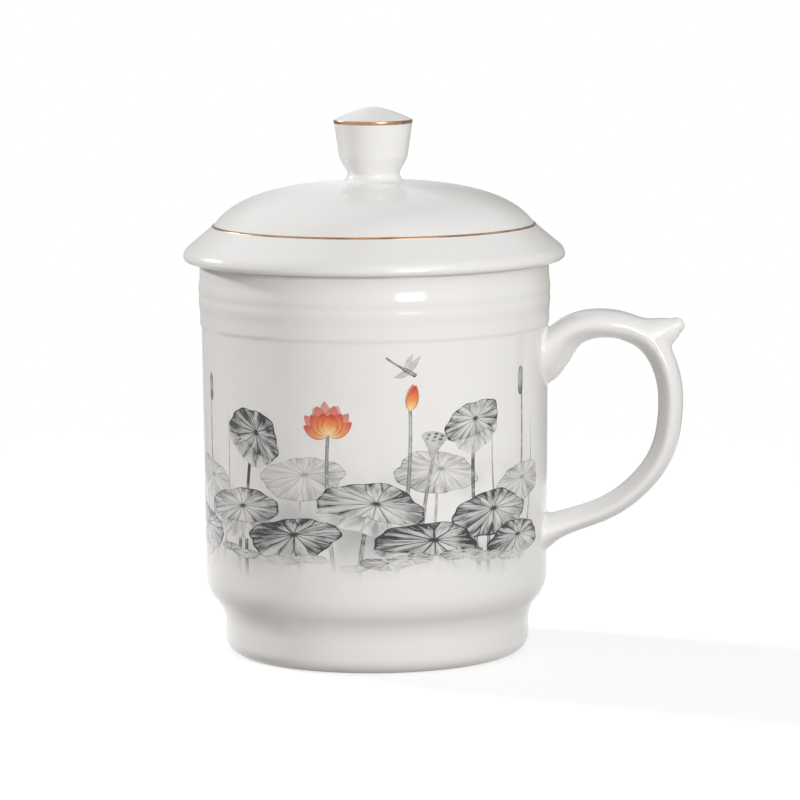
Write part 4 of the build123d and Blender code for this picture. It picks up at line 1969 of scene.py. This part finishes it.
@dataclass(frozen=True)
class Pond:
    """The picture on a cup's wall: plants and dragonflies over still water.

    Its sizes are in millimetres on the unrolled wall.
    """

    cup: Cup
    seed: int = 11
    water: float = 22.5
    wash_along: Span = (-186.5, 54.5)
    wash_height: Span = (21.2, 66.0)
    wash_points: tuple[int, int] = (330, 3)
    pad_count: int = 26
    pad_inset: float = 9.0
    pad_stray: Span = (0.15, 0.85)
    pad_half: Span = (3.6, 6.4)
    pad_height: Span = (26.5, 29.5)
    pad_flatness: float = 0.24
    pad_tilt: Span = (-3.0, 3.0)
    pad_tone: Span = (1.3, 1.8)

    LEAVES = (
        LotusLeaf(-46.0, 45.0, 10.0, 4.6, -8.0, 0.66, Depth.BACK),
        LotusLeaf(-13.0, 47.5, 11.0, 5.2, 6.0, 0.62, Depth.BACK),
        LotusLeaf(20.0, 49.0, 10.5, 5.0, -6.0, 0.70, Depth.BACK),
        LotusLeaf(46.0, 44.5, 9.0, 4.6, 8.0, 0.66, Depth.BACK),
        LotusLeaf(-32.0, 38.5, 12.5, 5.6, 5.0, 1.22, Depth.MIDDLE, True),
        LotusLeaf(4.0, 41.0, 13.0, 5.8, -7.0, 1.15, Depth.MIDDLE, True),
        LotusLeaf(35.0, 38.0, 12.0, 5.4, 6.0, 1.29, Depth.MIDDLE),
        LotusLeaf(-51.0, 32.5, 11.0, 4.8, -5.0, 1.67, Depth.FRONT),
        LotusLeaf(-16.0, 33.0, 12.5, 5.0, 7.0, 1.76, Depth.FRONT),
        LotusLeaf(18.0, 32.0, 13.0, 5.2, -4.0, 1.81, Depth.FRONT, True),
        LotusLeaf(44.0, 31.0, 10.0, 4.4, 4.0, 1.70, Depth.FRONT),
        LotusLeaf(-27.0, 57.0, 8.6, 6.0, -24.0, 1.67, Depth.TALL, True),
        LotusLeaf(30.0, 60.0, 7.8, 5.4, 20.0, 1.26, Depth.TALL, True),
        LotusLeaf(-76.0, 47.0, 10.5, 5.0, 7.0, 0.66, Depth.BACK),
        LotusLeaf(-106.0, 46.0, 11.0, 5.0, -6.0, 0.62, Depth.BACK),
        LotusLeaf(-142.0, 48.0, 10.0, 5.0, 6.0, 0.70, Depth.BACK),
        LotusLeaf(-172.0, 44.0, 10.0, 4.6, -7.0, 0.62, Depth.BACK),
        LotusLeaf(-66.0, 39.0, 11.0, 5.2, -6.0, 1.18, Depth.MIDDLE),
        LotusLeaf(-92.0, 40.0, 12.5, 5.6, 6.0, 1.22, Depth.MIDDLE, True),
        LotusLeaf(-122.0, 39.0, 12.0, 5.4, -6.0, 1.15, Depth.MIDDLE, True),
        LotusLeaf(-156.0, 40.0, 12.5, 5.6, 5.0, 1.26, Depth.MIDDLE),
        LotusLeaf(-80.0, 32.0, 11.5, 4.8, 5.0, 1.70, Depth.FRONT),
        LotusLeaf(-108.0, 32.5, 12.0, 5.0, -6.0, 1.78, Depth.FRONT),
        LotusLeaf(-138.0, 32.0, 12.0, 5.0, 6.0, 1.70, Depth.FRONT, True),
        LotusLeaf(-168.0, 31.5, 12.0, 4.8, -4.0, 1.76, Depth.FRONT),
        LotusLeaf(-98.0, 58.0, 8.0, 5.6, 20.0, 1.46, Depth.TALL, True),
        LotusLeaf(-160.0, 57.0, 8.0, 5.8, -22.0, 1.56, Depth.TALL, True),
    )
    FLOWERS = (
        Flower(-6.0, 58.5, 7.2, -4.0, Stage.OPEN),
        Flower(-126.0, 57.0, 7.4, 5.0, Stage.OPEN),
        Flower(13.5, 64.0, 6.4, 10.0, Stage.BUD),
        Flower(-78.0, 61.0, 6.0, -8.0, Stage.BUD),
    )
    PODS = (Pod(19.5, 57.5, 3.3, 8.0), Pod(-146.0, 60.0, 3.2, 8.0))
    REEDS = (
        Reed(-43.0, -2.5, 70.0, 0.42, 0.90, True),
        Reed(-40.5, 4.0, 63.0, 0.50, 0.72),
        Reed(-45.5, -5.0, 60.0, 0.55, 0.66),
        Reed(43.0, 3.0, 72.0, 0.42, 0.90, True),
        Reed(40.0, -4.0, 66.0, 0.50, 0.72),
        Reed(45.5, 5.0, 61.0, 0.55, 0.72),
        Reed(-66.0, 3.0, 71.0, 0.42, 0.80, True),
        Reed(-114.0, -3.0, 69.0, 0.42, 0.78, True),
        Reed(-117.0, 4.0, 61.0, 0.50, 0.60),
        Reed(-180.0, -2.0, 70.0, 0.42, 0.78, True),
        Reed(-177.0, 5.0, 60.0, 0.52, 0.62),
    )
    DRAGONFLIES = (Dragonfly(13.0, 73.5, -32.0), Dragonfly(-136.0, 71.0, 28.0))

    def wash(self, sheet: Drawing) -> None:
        """Lays the sheet of pale wash behind everything.

        Args:
            sheet: drawing that takes it.
        """
        along = np.linspace(*self.wash_along, self.wash_points[0])
        height = np.linspace(*self.wash_height, self.wash_points[1])
        points = np.stack(np.broadcast_arrays(along[:, None], height[None]), axis=2)
        grain = np.zeros((*self.wash_points, 3))
        grain[:, :, 0] = 1.0 - np.abs(np.linspace(-1.0, 1.0, len(along)))[:, None]
        sheet.plate(points, grain, 0, 1.0)

    def pads(self, sheet: Drawing, chance: np.random.Generator) -> None:
        """Draws the small leaves that float on the water.

        Args:
            sheet: drawing that takes them.
            chance: source of their places and sizes.
        """
        first, last = self.wash_along[0] + self.pad_inset, self.wash_along[1] - self.pad_inset
        for number in range(self.pad_count):
            along = first + (last - first) * (number + chance.uniform(*self.pad_stray)) / self.pad_count
            half = chance.uniform(*self.pad_half)
            spans = (self.pad_height, self.pad_tilt, self.pad_tone)
            height, tilt, tone = (chance.uniform(*span) for span in spans)
            pad = LotusLeaf(along, height, half, self.pad_flatness * half, tilt, tone, Depth.WATER)
            pad.draw(sheet, number, chance)

    def build(self) -> None:
        """Draws the picture and lays it on the cup."""
        chance = np.random.default_rng(self.seed)
        behind, leaves, strokes, blooms = Drawing(), Drawing(), Drawing(), Drawing()
        self.wash(behind)
        for index, leaf in enumerate(self.LEAVES):
            leaf.draw(leaves, index, chance)
            leaf.draw_stem(strokes, self.water, chance)
        for flower in self.FLOWERS:
            flower.draw(blooms)
            flower.draw_stem(strokes, self.water)
        for plant in (*self.PODS, *self.REEDS):
            plant.draw(strokes, self.water)
        for fly in self.DRAGONFLIES:
            fly.draw(strokes)
        self.pads(leaves, chance)
        wrap = Wrap()
        for name, drawing, ink, nodes in (
            ("wash", behind, WashInk(), ("print_film",)),
            ("leaves", leaves, LeafInk(), ()),
            ("strokes", strokes, StrokeInk(), ()),
            ("blooms", blooms, PetalInk(), ()),
        ):
            piece = wrap.lay(f"pond_{name}", drawing, self.cup, ink.material(f"{name}_ink"))
            settle(piece, Body.CUP, Slot.PRINT, *nodes)


@dataclass(frozen=True)
class Lamp:
    """A soft lamp that looks at the cup. Metres and watts."""

    name: str
    azimuth: float  # degrees round from the camera, positive to the right
    elevation: float  # degrees up
    distance: float
    width: float
    tall: float
    power: float


@dataclass(frozen=True)
class Card:
    """A grey card behind the cup, out of view, for the glaze to reflect."""

    name: str
    aside: float  # to the right of the camera's line
    behind: float
    grey: Colour


@dataclass(frozen=True)
class Studio:
    """White table, white surroundings, grey cards, four lamps and the camera."""

    eye: tuple[float, float, float] = (135.1 * MM, -1051.4 * MM, 197.9 * MM)
    aim: tuple[float, float, float] = (5.96 * MM, 0.73 * MM, 61.3 * MM)
    roll: float = math.radians(0.45)
    focal_pixels: float = 4375.0
    frame_pixels: float = 800.0
    sensor: float = 36.0  # millimetres, as Blender counts it
    floor_half: float = 12.0
    floor_colour: Colour = (0.37, 0.345, 0.325)  # for the light that it throws back
    floor_seen: float = 1.25  # how bright the lit table looks, for its shadow to stand on white
    floor_shadow_share: float = 0.3
    shadow_span: Span = (0.16, 0.42)  # radius where the shadow starts to fade and is gone
    sky_low: float = 0.11
    sky_high: float = 0.48
    lamps: tuple[Lamp, ...] = (
        Lamp("key", 23.0, 12.0, 1.3, 0.34, 0.24, 9.2),
        Lamp("fill", 28.0, 32.0, 1.3, 0.80, 0.50, 3.0),
        Lamp("rim", -118.0, 21.0, 1.2, 0.14, 0.14, 11.8),
        Lamp("back", 150.0, 10.0, 1.3, 0.80, 0.50, 3.5),
    )
    cards: tuple[Card, ...] = (
        Card("right_card", 0.15, 0.24, (0.36, 0.345, 0.305)),
        Card("left_card", -0.17, 0.24, (0.44, 0.435, 0.42)),
    )
    card_half: float = 0.22
    card_height: float = 0.12
    card_core: float = 0.08

    UP = Vector((0.0, 0.0, 1.0))
    WHITE = (1.0, 1.0, 1.0)

    def build(self) -> None:
        """Sets the whole stage."""
        self.camera()
        self.floor()
        for card in self.cards:
            self.stand(card)
        self.world()
        for lamp in self.lamps:
            self.hang(lamp)
        bpy.context.scene.view_settings.view_transform = "Standard"

    def camera(self) -> None:
        """Stands the camera where the photograph was taken from."""
        eye, aim = Vector(self.eye), Vector(self.aim)
        forward = (aim - eye).normalized()
        right = forward.cross(self.UP).normalized()
        up = right.cross(forward)
        tilted_up = up * math.cos(self.roll) + right * math.sin(self.roll)
        tilted_right = right * math.cos(self.roll) - up * math.sin(self.roll)
        turn = Matrix((tilted_right, tilted_up, -forward)).transposed().to_4x4()
        data = bpy.data.cameras.new("camera")
        data.sensor_width = self.sensor
        data.lens = self.sensor * self.focal_pixels / self.frame_pixels
        data.clip_end = 4 * self.floor_half
        camera = add_object("camera", data)
        camera.matrix_world = Matrix.Translation(eye) @ turn
        bpy.context.scene.camera = camera

    @staticmethod
    def panel(name: str, corners: list[tuple | Vector], material: Material) -> Object:
        """Adds a flat four-sided panel of the stage.

        Args:
            name: its name.
            corners: its corners in turn.
            material: its material.

        Returns:
            The panel.
        """
        mesh = bpy.data.meshes.new(name)
        mesh.from_pydata(corners, [], [(0, 1, 2, 3)])
        mesh.materials.append(material)
        panel = add_object(name, mesh)
        return panel

    def floor(self) -> None:
        """Lays the white table top, which keeps the cup's shadow."""
        material, graph = open_material("white_table")
        seen = self.seen_white(graph)
        colour = graph.mix(seen, self.floor_colour, (self.floor_seen,) * 3)
        matt = graph.node("ShaderNodeBsdfDiffuse", {"Color": colour})
        glow = graph.node("ShaderNodeEmission", {"Color": (*self.WHITE, 1.0), "Strength": 1.0})
        x, y, _ = graph.split(object_place(graph))
        near = 1.0 - graph.step(graph.length(x, y), *self.shadow_span)
        share = seen * (1.0 - near * self.floor_shadow_share)
        graph.surface("ShaderNodeMixShader", {0: share, 1: matt.outputs[0], 2: glow.outputs[0]})
        signs = ((-1, -1), (1, -1), (1, 1), (-1, 1))
        corners = [(x * self.floor_half, y * self.floor_half, 0.0) for x, y in signs]
        self.panel("table_top", corners, material)

    def stand(self, card: Card) -> None:
        """Stands one card, turned to the cup.

        Args:
            card: the card.
        """
        ahead = Vector(self.aim) - Vector(self.eye)
        ahead.z = 0.0
        ahead.normalize()
        middle = ahead.cross(self.UP) * card.aside + ahead * card.behind + self.UP * self.card_height
        side, up = middle.cross(self.UP).normalized() * self.card_half, self.UP * self.card_half
        material, graph = open_material(card.name)
        feeds = {0: object_place(graph), 1: middle}
        away = graph.field("ShaderNodeVectorMath", feeds, "Value", operation="DISTANCE")
        shade = graph.mix(graph.step(away, self.card_core, self.card_half), card.grey, self.WHITE)
        graph.surface("ShaderNodeEmission", {"Color": shade, "Strength": 1.0})
        corners = [middle - side - up, middle + side - up, middle + side + up, middle - side + up]
        board = self.panel(card.name, corners, material)
        board.visible_camera = board.visible_diffuse = board.visible_shadow = False

    @staticmethod
    def seen_white(graph: Graph) -> Field:
        """Tells what is seen from what is lit.

        Args:
            graph: graph of the table or the surroundings.

        Returns:
            1 for what the camera, a reflection or a refraction sees, 0 for light that falls on things.
        """
        path = graph.node("ShaderNodeLightPath")
        names = ("Is Camera Ray", "Is Glossy Ray", "Is Transmission Ray")
        camera, glossy, through = (Field(graph, path.outputs[name]) for name in names)
        return graph.math("MINIMUM", camera + glossy + through, 1.0)

    def world(self) -> None:
        """Surrounds the stage with soft white light."""
        world = bpy.data.worlds.new("white_room")
        world.use_nodes = True
        world.node_tree.nodes.clear()
        graph = Graph(world.node_tree)
        up = graph.split(graph.field("ShaderNodeTexCoord", output="Generated"))[2]
        strength = graph.spread(self.seen_white(graph), graph.spread(up, self.sky_low, self.sky_high), 1.0)
        room = graph.node("ShaderNodeBackground", {"Color": (*self.WHITE, 1.0), "Strength": strength})
        graph.node("ShaderNodeOutputWorld", {"Surface": room.outputs[0]})
        bpy.context.scene.world = world

    def hang(self, lamp: Lamp) -> None:
        """Hangs one lamp, turned to the middle of the cup.

        Args:
            lamp: the lamp.
        """
        away = Vector(self.eye) - Vector(self.aim)
        heading = math.atan2(away.y, away.x) + math.radians(lamp.azimuth)
        lift = math.radians(lamp.elevation)
        flat = Vector((math.cos(heading), math.sin(heading), 0.0))
        ray = flat * math.cos(lift) + self.UP * math.sin(lift)
        data = bpy.data.lights.new(lamp.name, "AREA")
        data.shape = "RECTANGLE"
        data.size, data.size_y = lamp.width, lamp.tall
        data.energy = lamp.power
        light = add_object(lamp.name, data)
        light.location = Vector(self.aim) + ray * lamp.distance
        light.rotation_euler = ray.to_track_quat("Z", "Y").to_euler()


def main() -> None:
    """Builds the stage and every piece in order."""
    logging.basicConfig(level=logging.INFO, format="%(name)s: %(message)s")
    Studio().build()
    glaze = Porcelain().material("glazed_porcelain")
    gold = FiredGold().material("fired_gold")
    wheel = Wheel()
    cup = Cup()
    cup.build(wheel, glaze)
    Handle(cup).build(Casting(), glaze)
    Lid().build(wheel, glaze, gold)
    Knob().build(wheel, glaze, gold)
    Pond(cup).build()


if __name__ == "__main__":
    main()
